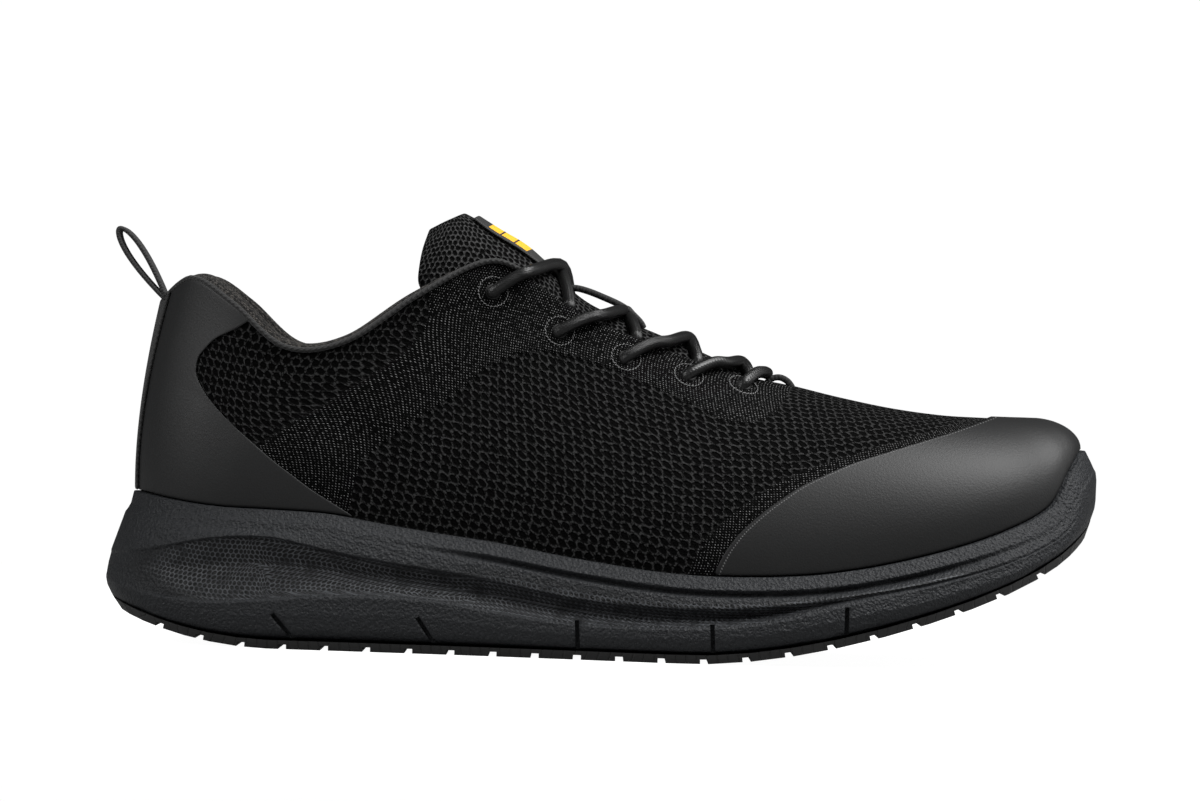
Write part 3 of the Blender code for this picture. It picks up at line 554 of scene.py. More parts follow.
def shown(
    name: str,
    mesh: bmesh.types.BMesh,
    materials: Sequence[Skin],
    finish: Finish,
    stands_for: Sequence[str] = (),
) -> bpy.types.Object:
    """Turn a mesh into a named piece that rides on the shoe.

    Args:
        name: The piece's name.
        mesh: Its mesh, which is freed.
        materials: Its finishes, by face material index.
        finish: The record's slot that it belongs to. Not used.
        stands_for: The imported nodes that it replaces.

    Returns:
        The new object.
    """
    bmesh.ops.remove_doubles(mesh, verts=mesh.verts, dist=WELD)
    bmesh.ops.dissolve_degenerate(mesh, edges=mesh.edges, dist=FINE)
    piece = mesh_object(name, mesh)
    for material in materials:
        piece.data.materials.append(material)
    piece.data.shade_smooth()
    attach(piece, BODY)
    if stands_for:
        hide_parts(*stands_for)
    LOG.info("%s: %d faces", name, len(piece.data.polygons))
    return piece


def soften(piece: bpy.types.Object) -> None:
    """Subdivide a piece once."""
    step = piece.modifiers.new("soft", "SUBSURF")
    step.levels = 1
    step.render_levels = 1
    step.uv_smooth = "PRESERVE_BOUNDARIES"


def sheet(
    name: str,
    mesh: bmesh.types.BMesh,
    thickness: float,
    materials: Sequence[Skin],
    finish: Finish,
    stands_for: Sequence[str] = (),
    varied: bool = False,
) -> bpy.types.Object:
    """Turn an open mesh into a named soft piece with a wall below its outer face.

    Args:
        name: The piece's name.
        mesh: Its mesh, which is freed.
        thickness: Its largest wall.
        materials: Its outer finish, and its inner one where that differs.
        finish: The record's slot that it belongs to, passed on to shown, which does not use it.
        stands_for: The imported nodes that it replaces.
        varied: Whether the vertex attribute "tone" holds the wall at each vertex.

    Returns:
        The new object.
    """
    piece = shown(name, mesh, materials, finish, stands_for)
    step = piece.modifiers.new("wall", "SOLIDIFY")
    step.thickness = thickness
    step.offset = -1
    step.use_even_offset = False
    step.use_rim = True
    step.material_offset = len(materials) - 1
    if varied:
        wall = piece.vertex_groups.new(name="wall")
        for index, tone in enumerate(piece.data.attributes["tone"].data):
            wall.add([index], tone.value / thickness, "REPLACE")
        step.vertex_group = "wall"
    soften(piece)
    return piece


class Graph:
    """Adds nodes to one tree from sockets and plain values."""

    def __init__(self, tree: bpy.types.NodeTree) -> None:
        """Keep the tree that nodes are added to."""
        self.tree = tree

    def node(self, kind: str, inputs: dict[Any, Any] | None = None, **settings: Any) -> bpy.types.Node:
        """Add a node.

        Args:
            kind: Its Blender type, without the ShaderNode part.
            inputs: Sockets or values by input name or number.
            settings: Properties of the node.

        Returns:
            The new node.
        """
        made = self.tree.nodes.new(f"ShaderNode{kind}")
        for name, value in settings.items():
            setattr(made, name, value)
        for key, value in (inputs or {}).items():
            self.feed(made.inputs[key], value)
        return made

    def feed(self, socket: Socket, value: Any) -> None:
        """Link a socket to an input, or set its plain value."""
        if isinstance(value, Socket):
            self.tree.links.new(value, socket)
        else:
            socket.default_value = value

    def math(self, operation: str, *values: Any) -> Socket:
        """A Math node on sockets or numbers."""
        return self.node("Math", dict(enumerate(values)), operation=operation).outputs[0]

    def times(self, first: Any, second: Any) -> Socket:
        """The product of two values."""
        return self.math("MULTIPLY", first, second)

    def inverse(self, value: Any) -> Socket:
        """What a share leaves of 1."""
        return self.math("SUBTRACT", 1.0, value)

    def parts(self, place: Any) -> Sequence[Socket]:
        """The three parts of a place."""
        return self.node("SeparateXYZ", {0: place}).outputs

    def in_pitches(self, place: Any, pitch: Any) -> tuple[Socket, Socket]:
        """The first two parts of a place, in pitches."""
        across, along, _ = self.parts(place)
        return self.math("DIVIDE", across, pitch), self.math("DIVIDE", along, pitch)

    def tone(self) -> Socket:
        """The value that the mesh keeps as the attribute "tone"."""
        return self.node("Attribute", attribute_name="tone").outputs["Fac"]

    def vector(self, operation: str, *values: Any) -> Socket:
        """A Vector Math node, whose output is its value for a length and else its vector."""
        made = self.node("VectorMath", dict(enumerate(values)), operation=operation)
        return made.outputs["Value" if operation == "LENGTH" else "Vector"]

    def step(self, value: Any, low: float, high: float) -> Socket:
        """A smooth step from 0 at low to 1 at high."""
        made = self.node("MapRange", {"Value": value, "From Min": low, "From Max": high},
                         interpolation_type="SMOOTHSTEP")
        return made.outputs["Result"]

    def blend(self, share: Any, first: Any, second: Any) -> Socket:
        """A mix of two colours."""
        made = self.node("Mix", data_type="RGBA")
        self.feed(made.inputs["Factor"], share)
        self.feed(made.inputs[6], first)
        self.feed(made.inputs[7], second)
        return made.outputs[2]

    def noise(self, place: Any, scale: float, detail: float = 2.0) -> Socket:
        """The plain value of a noise texture."""
        made = self.node("TexNoise", {"Vector": place, "Scale": scale, "Detail": detail})
        return made.outputs["Fac"]

    def curve(self, value: Any, points: Sequence[tuple[float, float]]) -> Socket:
        """A curve through points, all from 0 to 1."""
        made = self.node("FloatCurve", {"Value": value})
        line = made.mapping.curves[0]
        while len(line.points) < len(points):
            line.points.new(0.5, 0.5)
        for spot, place in zip(line.points, points):
            spot.location = place
            spot.handle_type = "AUTO"
        made.mapping.update()
        return made.outputs[0]


def new_group(name: str) -> tuple[Graph, Any, Any, Any]:
    """Start a shader node group that turns a place and a size into one number.

    Args:
        name: The group's name.

    Returns:
        The graph, the place, the size, and the socket that takes the number.
    """
    tree = bpy.data.node_groups.new(name, "ShaderNodeTree")
    for label, way, kind in (("Place", "INPUT", "Vector"), ("Size", "INPUT", "Float"),
                             ("Value", "OUTPUT", "Float")):
        tree.interface.new_socket(label, in_out=way, socket_type=f"NodeSocket{kind}")
    source = tree.nodes.new("NodeGroupInput")
    sink = tree.nodes.new("NodeGroupOutput")
    return Graph(tree), source.outputs["Place"], source.outputs["Size"], sink.inputs["Value"]


@lru_cache(maxsize=None)
def honeycomb_group() -> bpy.types.NodeTree:
    """Distance to the nearest cell centre of a hexagonal lattice, in pitches."""
    graph, place, pitch, result = new_group("honeycomb")
    pitches = graph.node("CombineXYZ", {0: pitch, 1: pitch, 2: 1.0}).outputs[0]
    flat = graph.vector("MULTIPLY", graph.vector("DIVIDE", place, pitches), (1, 1, 0))
    half = (0.5, 0.5 * math.sqrt(3), 1)
    away = tuple(-value for value in half)
    first = graph.vector("LENGTH", graph.vector("WRAP", flat, half, away))
    moved = graph.vector("ADD", flat, (half[0], half[1], 0))
    second = graph.vector("LENGTH", graph.vector("WRAP", moved, half, away))
    graph.feed(result, graph.math("MINIMUM", first, second))
    return graph.tree


@lru_cache(maxsize=None)
def stitch_group() -> bpy.types.NodeTree:
    """Height of small knitted stitches, as leaning pairs of loops in columns."""
    graph, place, pitch, result = new_group("knit_stitches")
    across, along = graph.in_pitches(place, pitch)
    fold = graph.math("ABSOLUTE", graph.math("WRAP", across, 0.5, -0.5))
    lean = graph.math("ADD", graph.times(along, 1.4), graph.times(fold, 1.3))
    loops = graph.math("ABSOLUTE", graph.math("SINE", graph.times(lean, math.pi)))
    columns = graph.math("SINE", graph.times(fold, 2 * math.pi))
    graph.feed(result, graph.times(loops, graph.math("POWER", columns, 0.6)))
    return graph.tree


@lru_cache(maxsize=None)
def grain_group() -> bpy.types.NodeTree:
    """Height of a pebbled grain, as on moulded foam or leather."""
    graph, place, size, result = new_group("pebble_grain")
    scale = graph.math("DIVIDE", 1.0, size)
    cells = graph.node("TexVoronoi", {"Vector": place, "Scale": scale}, feature="SMOOTH_F1")
    fine = graph.noise(place, graph.times(scale, 1.7), 3.0)
    pebbles = graph.times(cells.outputs["Distance"], 0.7)
    graph.feed(result, graph.math("ADD", pebbles, graph.times(fine, 0.6)))
    return graph.tree


@lru_cache(maxsize=None)
def weave_group() -> bpy.types.NodeTree:
    """Height of a narrow woven tape: crossing threads that pass over each other in turn."""
    graph, place, pitch, result = new_group("tape_weave")
    across, along = graph.in_pitches(place, pitch)
    warp = graph.math("SINE", graph.times(across, math.pi))
    weft = graph.math("SINE", graph.times(along, math.pi))
    graph.feed(result, graph.times(graph.math("ABSOLUTE", graph.math("ADD", warp, weft)), 0.5))
    return graph.tree


class Material:
    """A material under construction: its graph, its shader and its usual texture places."""

    def __init__(self, name: str, roughness: float) -> None:
        """Start the material.

        Args:
            name: Its name.
            roughness: The shader's roughness.
        """
        self.made = bpy.data.materials.new(name)
        self.made.use_nodes = True
        self.graph = Graph(self.made.node_tree)
        self.shader = self.made.node_tree.nodes["Principled BSDF"]
        self.shader.inputs["Roughness"].default_value = roughness
        place = self.graph.node("TexCoord")
        self.uv = place.outputs["UV"]
        self.object = place.outputs["Object"]

    def group(self, tree: bpy.types.NodeTree, place: Any, size: float) -> Socket:
        """The first output of one of the shared groups, at a place and size."""
        made = self.graph.node("Group", node_tree=tree)
        self.graph.feed(made.inputs[0], place)
        self.graph.feed(made.inputs[1], size)
        return made.outputs[0]

    def bump(self, height: Any, distance: float, strength: float = 1.0) -> None:
        """Add a bump under the ones that are there already."""
        made = self.graph.node("Bump", {"Height": height, "Strength": strength, "Distance": distance})
        socket = self.shader.inputs["Normal"]
        if socket.is_linked:
            self.graph.feed(made.inputs["Normal"], socket.links[0].from_socket)
        self.graph.feed(socket, made.outputs[0])

    def colour(self, value: Any) -> None:
        """Set or link the base colour."""
        self.graph.feed(self.shader.inputs["Base Color"], value)


def grey(value: float, warm: float = 0.0) -> tuple[float, float, float, float]:
    """A near-neutral colour, warmer or cooler by a share of its value."""
    return (value * (1 + warm), value, value * (1 - warm), 1)


@dataclass(frozen=True)
class Look:
    """What all finishes share. Each one draws its own nodes."""

    name: str
    roughness: float = 0.5
    specular: float = 0.5
    sheen: float = 0.0

    def draw(self, material: Material, graph: Graph) -> None:
        """Add the finish's nodes to its material.

        Args:
            material: The material under construction.
            graph: Its graph.
        """
        raise NotImplementedError

    def build(self) -> Skin:
        """The material."""
        material = Material(self.name, self.roughness)
        material.shader.inputs["Specular IOR Level"].default_value = self.specular
        material.shader.inputs["Sheen Weight"].default_value = self.sheen
        self.draw(material, material.graph)
        return material.made


@dataclass(frozen=True)
class KnitFinish(Look):
    """The upper's knit: open honeycomb panels between dense bands, with grey flecks and painted shade in
    the holes.
    """

    name: str = "upper_knit"
    roughness: float = 0.88
    specular: float = 0.05
    pitch: float = 0.0030
    stitch: float = 0.0011
    loop: float = 0.00092
    mesh_share: float = 0.16
    tall: float = 0.14
    blur: tuple[float, float] = (-0.006, 0.012)
    strip: tuple[float, float] = (-0.030, -0.022)
    eyestay: Line = (
        (0.0, 0.10), (0.240, 0.250), (0.259, 0.395), (0.294, 0.461), (0.353, 0.552), (0.392, 0.620),
        (0.432, 0.644), (0.493, 0.620), (0.570, 0.556), (0.641, 0.506), (0.668, 0.530), (0.695, 0.600),
        (1.0, 0.75),
    )
    band_top: Line = (
        (0.0, 0.20), (0.178, 0.464), (0.242, 0.555), (0.310, 0.667), (0.322, 0.728), (0.334, 1.0),
        (1.0, 1.0),
    )

    def draw(self, material: Material, graph: Graph) -> None:
        """Place the bands by height and length on the shoe, and the knit by the UV map."""
        x, _, z = graph.parts(material.object)
        ahead = graph.math("ADD", graph.math("DIVIDE", x, LAST.length), 0.5)
        height = graph.math("DIVIDE", z, self.tall)
        above = graph.step(graph.math("SUBTRACT", height, graph.curve(ahead, self.eyestay)), *self.blur)
        below = graph.step(graph.math("SUBTRACT", graph.curve(ahead, self.band_top), height), *self.blur)
        guard = [(rise * LAST.toe_height / self.tall, share + 0.5) for share, rise in TOE_GUARD_EDGE]
        guard = [(0.0, guard[0][1]), *guard, (1.0, 1.0)]
        beside = graph.step(graph.math("SUBTRACT", ahead, graph.curve(height, guard)), *self.strip)
        dense = graph.math("MAXIMUM", graph.times(above, below), beside)
        open_share = graph.inverse(dense)
        distance = material.group(honeycomb_group(), material.uv, self.pitch)
        # painted shade: the open holes are coloured darker than the yarn, for the shade inside them
        hole = graph.times(graph.step(distance, 0.40, 0.27), open_share)
        ridges = graph.times(graph.step(distance, 0.32, 0.46), self.mesh_share)
        stitches = material.group(stitch_group(), material.uv, self.stitch)
        loops = graph.step(material.group(honeycomb_group(), material.uv, self.loop), 0.28, 0.08)
        loops = graph.math("ADD", graph.times(loops, dense), graph.times(ridges, open_share))
        flecks = graph.step(graph.noise(material.uv, 1300.0), 0.40, 0.60)
        yarn = graph.blend(graph.times(flecks, loops), grey(0.0006), grey(0.200))
        material.colour(graph.blend(hole, yarn, grey(0.0003)))
        material.bump(loops, 0.0005, 0.8)
        material.bump(graph.times(stitches, open_share), 0.0004, 0.6)
        material.bump(graph.inverse(hole), 0.0014)


@dataclass(frozen=True)
class LiningFinish(Look):
    """The heathered grey-brown fabric that lines the collar and the inside."""

    name: str = "collar_lining"
    roughness: float = 0.92
    specular: float = 0.15
    sheen: float = 0.05
    stitch: float = 0.0013

    def draw(self, material: Material, graph: Graph) -> None:
        """Add small stitches with light flecks."""
        stitches = material.group(stitch_group(), material.uv, self.stitch)
        flecks = graph.step(graph.noise(material.uv, 900.0), 0.42, 0.62)
        material.colour(graph.blend(graph.times(flecks, stitches), grey(0.0030, 0.05), grey(0.075, 0.10)))
        material.bump(stitches, 0.0005, 0.8)


@dataclass(frozen=True)
class CoarseKnitFinish(Look):
    """The tongue's coarse padded knit."""

    name: str = "tongue_knit"
    roughness: float = 0.9
    specular: float = 0.05
    pitch: float = 0.0022
    stitch: float = 0.0010

    def draw(self, material: Material, graph: Graph) -> None:
        """Add small holes, darkened with painted shade, between flecked ridges."""
        distance = material.group(honeycomb_group(), material.uv, self.pitch)
        # painted shade: the holes are coloured darker than the yarn, for the shade inside them
        hole = graph.step(distance, 0.36, 0.16)
        flecks = graph.step(graph.noise(material.uv, 900.0), 0.32, 0.60)
        spark = graph.times(flecks, graph.step(distance, 0.30, 0.52))
        material.colour(graph.blend(hole, graph.blend(spark, grey(0.0006), grey(0.060)), grey(0.0003)))
        material.bump(material.group(stitch_group(), material.uv, self.stitch), 0.0004, 0.7)
        material.bump(graph.inverse(hole), 0.0009, 0.9)


@dataclass(frozen=True)
class FilmFinish(Look):
    """The smooth matte film of the toe guard and the heel counter."""

    specular: float = 0.32
    tint: float = 0.0060
    dotted: bool = False
    line: float = 0.0016
    line_half: float = 0.00022
    dot: float = 0.0012

    def draw(self, material: Material, graph: Graph) -> None:
        """Add a fine grain, and a dotted line along the free edge where the film has one."""
        colour = graph.blend(graph.noise(material.object, 60.0), grey(self.tint * 0.9, -0.03),
                             grey(self.tint * 1.1, -0.03))
        if self.dotted:
            line = graph.math("COMPARE", graph.tone(), self.line, self.line_half)
            x, _, z = graph.parts(material.object)
            wave = graph.times(graph.math("ADD", x, z), 2 * math.pi / self.dot)
            dots = graph.step(graph.math("SINE", wave), 0.0, 0.4)
            colour = graph.blend(graph.times(line, dots), colour, grey(0.11))
        material.colour(colour)
        material.bump(material.group(grain_group(), material.object, 0.0006), 0.00008, 0.7)


@dataclass(frozen=True)
class FoamFinish(Look):
    """The grained foam of the midsole, with painted shade and small hexagons where the tone attribute
    says the hollow is.
    """

    name: str = "midsole_foam"
    specular: float = 0.20
    pitch: float = 0.0016
    grain: float = 0.0009

    def draw(self, material: Material, graph: Graph) -> None:
        """Add the grain, painted shade over the hollow, and its hexagons with painted highlights."""
        grain = material.group(grain_group(), material.object, self.grain)
        hollow = graph.tone()
        distance = material.group(honeycomb_group(), material.uv, self.pitch)
        cells = graph.times(graph.step(distance, 0.36, 0.47), graph.step(hollow, 0.40, 0.62))
        plain = graph.blend(grain, (0.0070, 0.0077, 0.0088, 1), (0.0165, 0.0177, 0.0197, 1))
        # painted shade: the foam's colour goes darker where tone marks the hollow, the slit and the
        # steps, for the shade that falls there
        shaded = graph.blend(graph.step(hollow, 0.10, 0.85), plain, (0.0012, 0.0013, 0.0015, 1))
        # painted highlight: the hexagons are moulded relief, given by the bump, but their far brighter
        # colour, in noisy patches, is painted light on their raised faces
        highlight_patches = graph.step(graph.noise(material.object, 260.0), 0.20, 0.66)
        painted_highlight = graph.blend(highlight_patches, (0.012, 0.013, 0.015, 1), (0.055, 0.058, 0.063, 1))
        material.colour(graph.blend(cells, shaded, painted_highlight))
        material.bump(graph.times(grain, graph.inverse(cells)), 0.0007)
        material.bump(cells, 0.0005, 0.9)


@dataclass(frozen=True)
class RubberFinish(Look):
    """The outsole's black rubber with its fine sipes."""

    name: str = "outsole_rubber"
    roughness: float = 0.62
    sipe: float = 0.0031
    wave: float = 0.012
    sway: float = 0.0012

    def draw(self, material: Material, graph: Graph) -> None:
        """Add wavy sipes across the tread."""
        x, y, _ = graph.parts(material.object)
        wave = graph.math("SINE", graph.times(y, 2 * math.pi / self.wave))
        slant = graph.math("ADD", x, graph.times(wave, self.sway))
        sipes = graph.math("ABSOLUTE", graph.math("SINE", graph.times(slant, math.pi / self.sipe)))
        material.colour(graph.blend(graph.noise(material.object, 80.0), grey(0.0035), grey(0.0060)))
        material.bump(graph.step(sipes, 0.0, 0.35), 0.0006, 0.7)
        material.bump(graph.noise(material.object, 1400.0), 0.00006, 0.6)


@dataclass(frozen=True)
class WebbingFinish(Look):
    """Black woven tape, on the pull loop, the back seam, the keeper and the bound collar edge."""

    roughness: float = 0.8
    sheen: float = 0.08
    pitch: float = 0.0009
    tint: float = 0.010

    def draw(self, material: Material, graph: Graph) -> None:
        """Add the weave."""
        weave = material.group(weave_group(), material.uv, self.pitch)
        material.colour(graph.blend(weave, grey(self.tint * 0.35), grey(self.tint * 1.6)))
        material.bump(weave, 0.00025, 0.8)


@dataclass(frozen=True)
class LabelFinish(Look):
    """The tongue label: black satin weave with plain yellow bars."""

    name: str = "label_weave"
    roughness: float = 0.6
    pitch: float = 0.00035
    half: float = 0.0074
    first: float = 0.0050
    last: float = 0.0194
    bar: float = 0.0048
    apart: float = 0.0005
    edge: float = 0.0003

    def draw(self, material: Material, graph: Graph) -> None:
        """Place the bars by the label's own UV map."""
        weave = material.group(weave_group(), material.uv, self.pitch)
        u, v, _ = graph.parts(material.uv)
        inside = graph.step(graph.math("ABSOLUTE", u), self.half, self.half - self.edge)
        run = graph.math("WRAP", graph.math("SUBTRACT", v, self.first), self.bar, 0.0)
        bars = graph.step(run, self.apart, self.apart + 0.0002)
        ends = graph.times(graph.step(v, self.first, self.first + self.edge),
                           graph.step(v, self.last, self.last - self.edge))
        yellow = graph.blend(weave, (0.62, 0.30, 0.006, 1), (0.95, 0.50, 0.016, 1))
        black = graph.blend(weave, grey(0.003), grey(0.012))
        material.colour(graph.blend(graph.times(graph.times(inside, bars), ends), black, yellow))
        material.bump(weave, 0.00012, 0.7)


@dataclass(frozen=True)
class LaceFinish(Look):
    """The round waxed lace, with a fine braid."""

    name: str = "waxed_lace"
    roughness: float = 0.34
    specular: float = 0.36
    pitch: float = 0.00055

    def draw(self, material: Material, graph: Graph) -> None:
        """Add the braid."""
        weave = material.group(weave_group(), material.uv, self.pitch)
        material.colour(graph.blend(weave, grey(0.0025), grey(0.0065)))
        material.bump(weave, 0.0001, 0.45)


@dataclass(frozen=True)
class ThreadFinish(Look):
    """Plain sewing thread."""

    roughness: float = 0.7
    tint: float = 0.20

    def draw(self, material: Material, graph: Graph) -> None:
        """Add the twist."""
        twist = graph.noise(material.object, 2600.0)
        material.colour(graph.blend(twist, grey(self.tint * 0.6), grey(self.tint * 1.3)))
        material.bump(twist, 0.00008, 0.6)


class Crease(NamedTuple):
    """A soft trough or ridge of the upper, by its ends on the side view."""

    start: tuple[float, float]
    end: tuple[float, float]
    depth: float
    width: float
    side: int

    def at(self, point: Vector) -> float:
        """How far the crease moves a point inwards."""
        if point.y * self.side < 0:
            return 0.0
        begin = Vector(self.start)
        line = Vector(self.end) - begin
        here = Vector((point.x, point.z)) - begin
        share = max(0.0, min(1.0, here.dot(line) / line.length_squared))
        away = (here - line * share).length
        ends = smooth(share, -0.02, 0.25) * (1 - smooth(share, 0.75, 1.02))
        return self.depth * math.exp(-(away / self.width) ** 2) * ends


CREASES = (
    Crease((0.030, 0.030), (0.062, 0.068), 0.0007, 0.0055, -1),
    Crease((0.016, 0.036), (0.043, 0.070), -0.0004, 0.0050, -1),
    Crease((0.010, 0.034), (0.030, 0.060), 0.0005, 0.0050, -1),
    Crease((-0.094, 0.074), (-0.060, 0.060), 0.0006, 0.0060, -1),
    Crease((-0.100, 0.066), (-0.072, 0.050), -0.0004, 0.0060, -1),
    Crease((0.030, 0.032), (0.062, 0.070), 0.0007, 0.0060, 1),
    Crease((0.008, 0.036), (0.038, 0.066), 0.0005, 0.0055, 1),
    Crease((-0.096, 0.074), (-0.062, 0.058), 0.0006, 0.0060, 1),
)


@dataclass
class Upper:
    """The knitted upper with its collar, films and eyelets."""

    columns_per_station: int = 6
    rows: int = 30
    hem: float = 0.0065
    hem_inset: float = 0.0012
    film: float = 0.0004
    ridge_reach: float = 0.004
    piping: float = 0.0008
    piping_lift: float = 0.0003
    pad_proud: float = 0.0010
    pad_roll: float = 0.36
    pad_wall: float = 0.0010
    pad_sink: float = 0.0002
    pad_end: float = 0.40
    pad_past: float = 0.3
    piping_past: float = 1.1
    eyelet_ring: float = 0.0045
    eyelet_thread: float = 0.00024
    eyelet_lip: float = 0.0019
    lip_thread: float = 0.00045
    lip_lift: float = 0.0001
    lip_sides: int = 8
    lip_steps: int = 20
    stitch_slant: float = 0.35
    stitches_round: int = 26

    def stations(self) -> list[float]:
        """The stations of the columns, once round from the heel."""
        count = ROUND * self.columns_per_station
        return [HEEL + step / self.columns_per_station for step in range(count + 1)]

    def build_knit(self, knit: Skin, lining: Skin) -> None:
        """The knitted wall and its lining, open at the collar, throat and sole.

        Args:
            knit: The outer finish.
            lining: The inner finish.
        """
        columns = []
        for station in self.stations():
            inset = LAST.inset_at(station, RIM) + LAST.lip + LAST.gap + self.hem_inset
            foot = LAST.outline(station, inset)
            column = [Vector((foot.x, foot.y, LAST.rim_height(station) - self.hem))]
            for share in shares(self.rows):
                point = LAST.upper_point(station, share)
                dent = sum(crease.at(point) for crease in CREASES)
                point = point - LAST.upper_normal(station, share) * dent
                if LAST.from_toe(station) <= VAMP_POINT and share == 1.0:
                    point.y = 0.0
                column.append(point)
            columns.append(column)
        walls = [[LAST.wall_at(station, share) for share in [0.0, *shares(self.rows)]]
                 for station in self.stations()]
        sheet("knit_upper", grid_mesh(columns, walls, flip=True), LAST.collar_pad, (knit, lining),
              Finish.KNIT, ("upper",), varied=True)

    def film_columns(self, centre: float, reach: float, inside: Callable[[Vector], bool],
                     lift: float, rows: int, columns: int) -> tuple[Grid, Tones]:
        """Places of a film on the upper, row by row out to its free edge.

        Args:
            centre: The station in the film's middle.
            reach: The most stations that it spans to either side.
            inside: Says whether a point of the upper lies under the film.
            lift: Its height over the upper's outer face.
            rows: How many places up each column.
            columns: How many columns in all.

        Returns:
            The columns of places, and how far each place is from the free edge.
        """
        def reach_at(side: int, share: float) -> float:
            """How many stations the film spans to one side at a share of the height."""
            def covered(away: float) -> bool:
                """Whether the film covers the place this far from its middle."""
                return inside(LAST.upper_point(centre + side * away, share))

            return reach if covered(reach) else last_passing(covered, 0.0, reach)

        limits = [(reach_at(-1, share), reach_at(1, share)) for share in shares(rows)]
        places = []
        for step in shares(columns):
            turn = 2 * step - 1
            turn = math.copysign(1 - (1 - abs(turn)) ** 1.15, turn)
            column = []
            for share, (before, after) in zip(shares(rows), limits):
                station = centre + turn * (before if turn < 0 else after)
                point = LAST.upper_point(station, share)
                column.append(point + LAST.upper_normal(station, share) * lift)
            places.append(column)
        tones = [[min((point - first).length, (point - last).length)
                  for point, first, last in zip(column, places[0], places[-1])] for column in places]
        return places, tones

    def build_toe_guard(self, film: Skin) -> None:
        """The smooth film over the toe."""
        edge = [(ahead * LAST.length, rise * LAST.toe_height) for ahead, rise in TOE_GUARD_EDGE]

        def inside(point: Vector) -> bool:
            """Whether the point lies ahead of the guard's edge."""
            return point.x > polyline_at(edge, point.z)

        places, tones = self.film_columns(0.0, 9.0, inside, LAST.gap * 0.5 + self.film, 34, 90)
        for column in places:
            if abs(column[-1].y) < self.ridge_reach:
                column[-1].y = 0.0
        sheet("toe_guard_film", grid_mesh(places, tones, flip=True), self.film, (film,),
              Finish.FILM, ("toe_guard",))

    def build_heel_counter(self, film: Skin) -> None:
        """The smooth film round the heel."""
        edge = [(ahead * LAST.length, rise * LAST.heel_height) for ahead, rise in COUNTER_EDGE]

        def inside(point: Vector) -> bool:
            """Whether the point lies behind the counter's edge."""
            return point.x < polyline_at(edge, point.z)

        places, tones = self.film_columns(float(HEEL), 7.5, inside, LAST.gap + self.film, 34, 80)
        sheet("heel_counter_film", grid_mesh(places, tones, flip=True), self.film, (film,),
              Finish.FILM, ("heel_counter",))

    def build_collar_pad(self, lining: Skin) -> None:
        """The padded roll that lines the collar and stands a little over its edge."""
        columns = []
        for step in shares(133):
            station = mix(CORNER - self.pad_past, ROUND - CORNER + self.pad_past, step)
            top, normal = LAST.upper_point(station, 1.0), LAST.upper_normal(station, 1.0)
            up = (top - LAST.upper_point(station, 0.97)).normalized()
            wall = LAST.wall_at(station, 1.0)
            column = []
            for turn in shares(13):
                angle = math.pi * turn
                inward = (wall + self.pad_proud) * (1 - math.cos(angle)) / 2
                column.append(top - normal * inward + up * (self.pad_roll * wall * math.sin(angle)))
            for share in shares(14)[1:]:
                at = mix(1.0, self.pad_end, share)
                puff = self.pad_proud * math.cos(share * math.pi / 2) ** 0.5 + self.pad_sink
                column.append(LAST.under(station, at, puff))
            columns.append(column)
        piece = sheet("collar_pad", grid_mesh(columns, flip=True), self.pad_wall, (lining,), Finish.KNIT)

    def build_piping(self, cloth: Skin) -> None:
        """The thin bound edge round the collar and the top eyelet corners."""
        route = []
        for share in shares(121):
            station = mix(CORNER - self.piping_past, ROUND - CORNER + self.piping_past, share)
            lift = LAST.upper_normal(station, 1.0) * (0.4 * self.piping)
            route.append(LAST.upper_point(station, 1.0) + lift + Vector((0, 0, self.piping_lift)))
        shown("collar_piping", tube_mesh(route, self.piping, 10), (cloth,), Finish.KNIT)

    @staticmethod
    def eyelet_seats(lift: float) -> list[Matrix]:
        """Where each eyelet sits, lifted a little off the knit, with the outward way as its z."""
        seats = []
        for side in (-1, 1):
            for station in EYELETS:
                place, normal = LAST.eyelet(station, side)
                turn = Vector((0, 0, 1)).rotation_difference(normal).to_matrix().to_4x4()
                seats.append(Matrix.Translation(place + normal * lift) @ turn)
        return seats

    def build_eyelets(self, thread: Skin, lip: Skin) -> None:
        """A ring of small stitches and a dark lip round each eyelet hole.

        Args:
            thread: The finish of the stitches.
            lip: The finish of the lips.
        """
        mesh = bmesh.new()
        bead = Matrix.Diagonal((0.5, 2.4, 1.0, 1)) * self.eyelet_thread
        bead[3][3] = 1.0
        slant = Matrix.Rotation(self.stitch_slant, 4, "Z")
        for seat in self.eyelet_seats(self.eyelet_thread):
            for step in range(self.stitches_round):
                angle = 2 * math.pi * step / self.stitches_round
                spoke = Matrix.Rotation(angle, 4, "Z") @ Matrix.Translation((self.eyelet_ring, 0, 0))
                bmesh.ops.create_icosphere(mesh, subdivisions=1, radius=1.0,
                                           matrix=seat @ spoke @ slant @ bead)
        nodes = [f"eyelet_{side}_{row + 1}" for side in ("outer", "inner") for row in range(len(EYELETS))]
        shown("eyelet_stitches", mesh, (thread,), Finish.CORD, nodes)
        lips = bmesh.new()
        ring = []
        for turn in shares(self.lip_sides + 1):
            angle = 2 * math.pi * turn
            ring.append(Vector((self.eyelet_lip + self.lip_thread * math.cos(angle), 0,
                                self.lip_thread * math.sin(angle))))
        for seat in self.eyelet_seats(self.lip_lift):
            turns = [seat @ Matrix.Rotation(2 * math.pi * turn, 4, "Z")
                     for turn in shares(self.lip_steps + 1)]
            add_grid(lips, [[turn @ point for point in ring] for turn in turns])
        bmesh.ops.remove_doubles(lips, verts=lips.verts, dist=WELD)
        bmesh.ops.recalc_face_normals(lips, faces=lips.faces)
        shown("eyelet_lips", lips, (lip,), Finish.CORD)


class TongueRow(NamedTuple):
    """A section of the free end of the tongue."""

    station: float
    ahead: float
    rise: float
    half: float
    back: float
    down: float
    pad: float


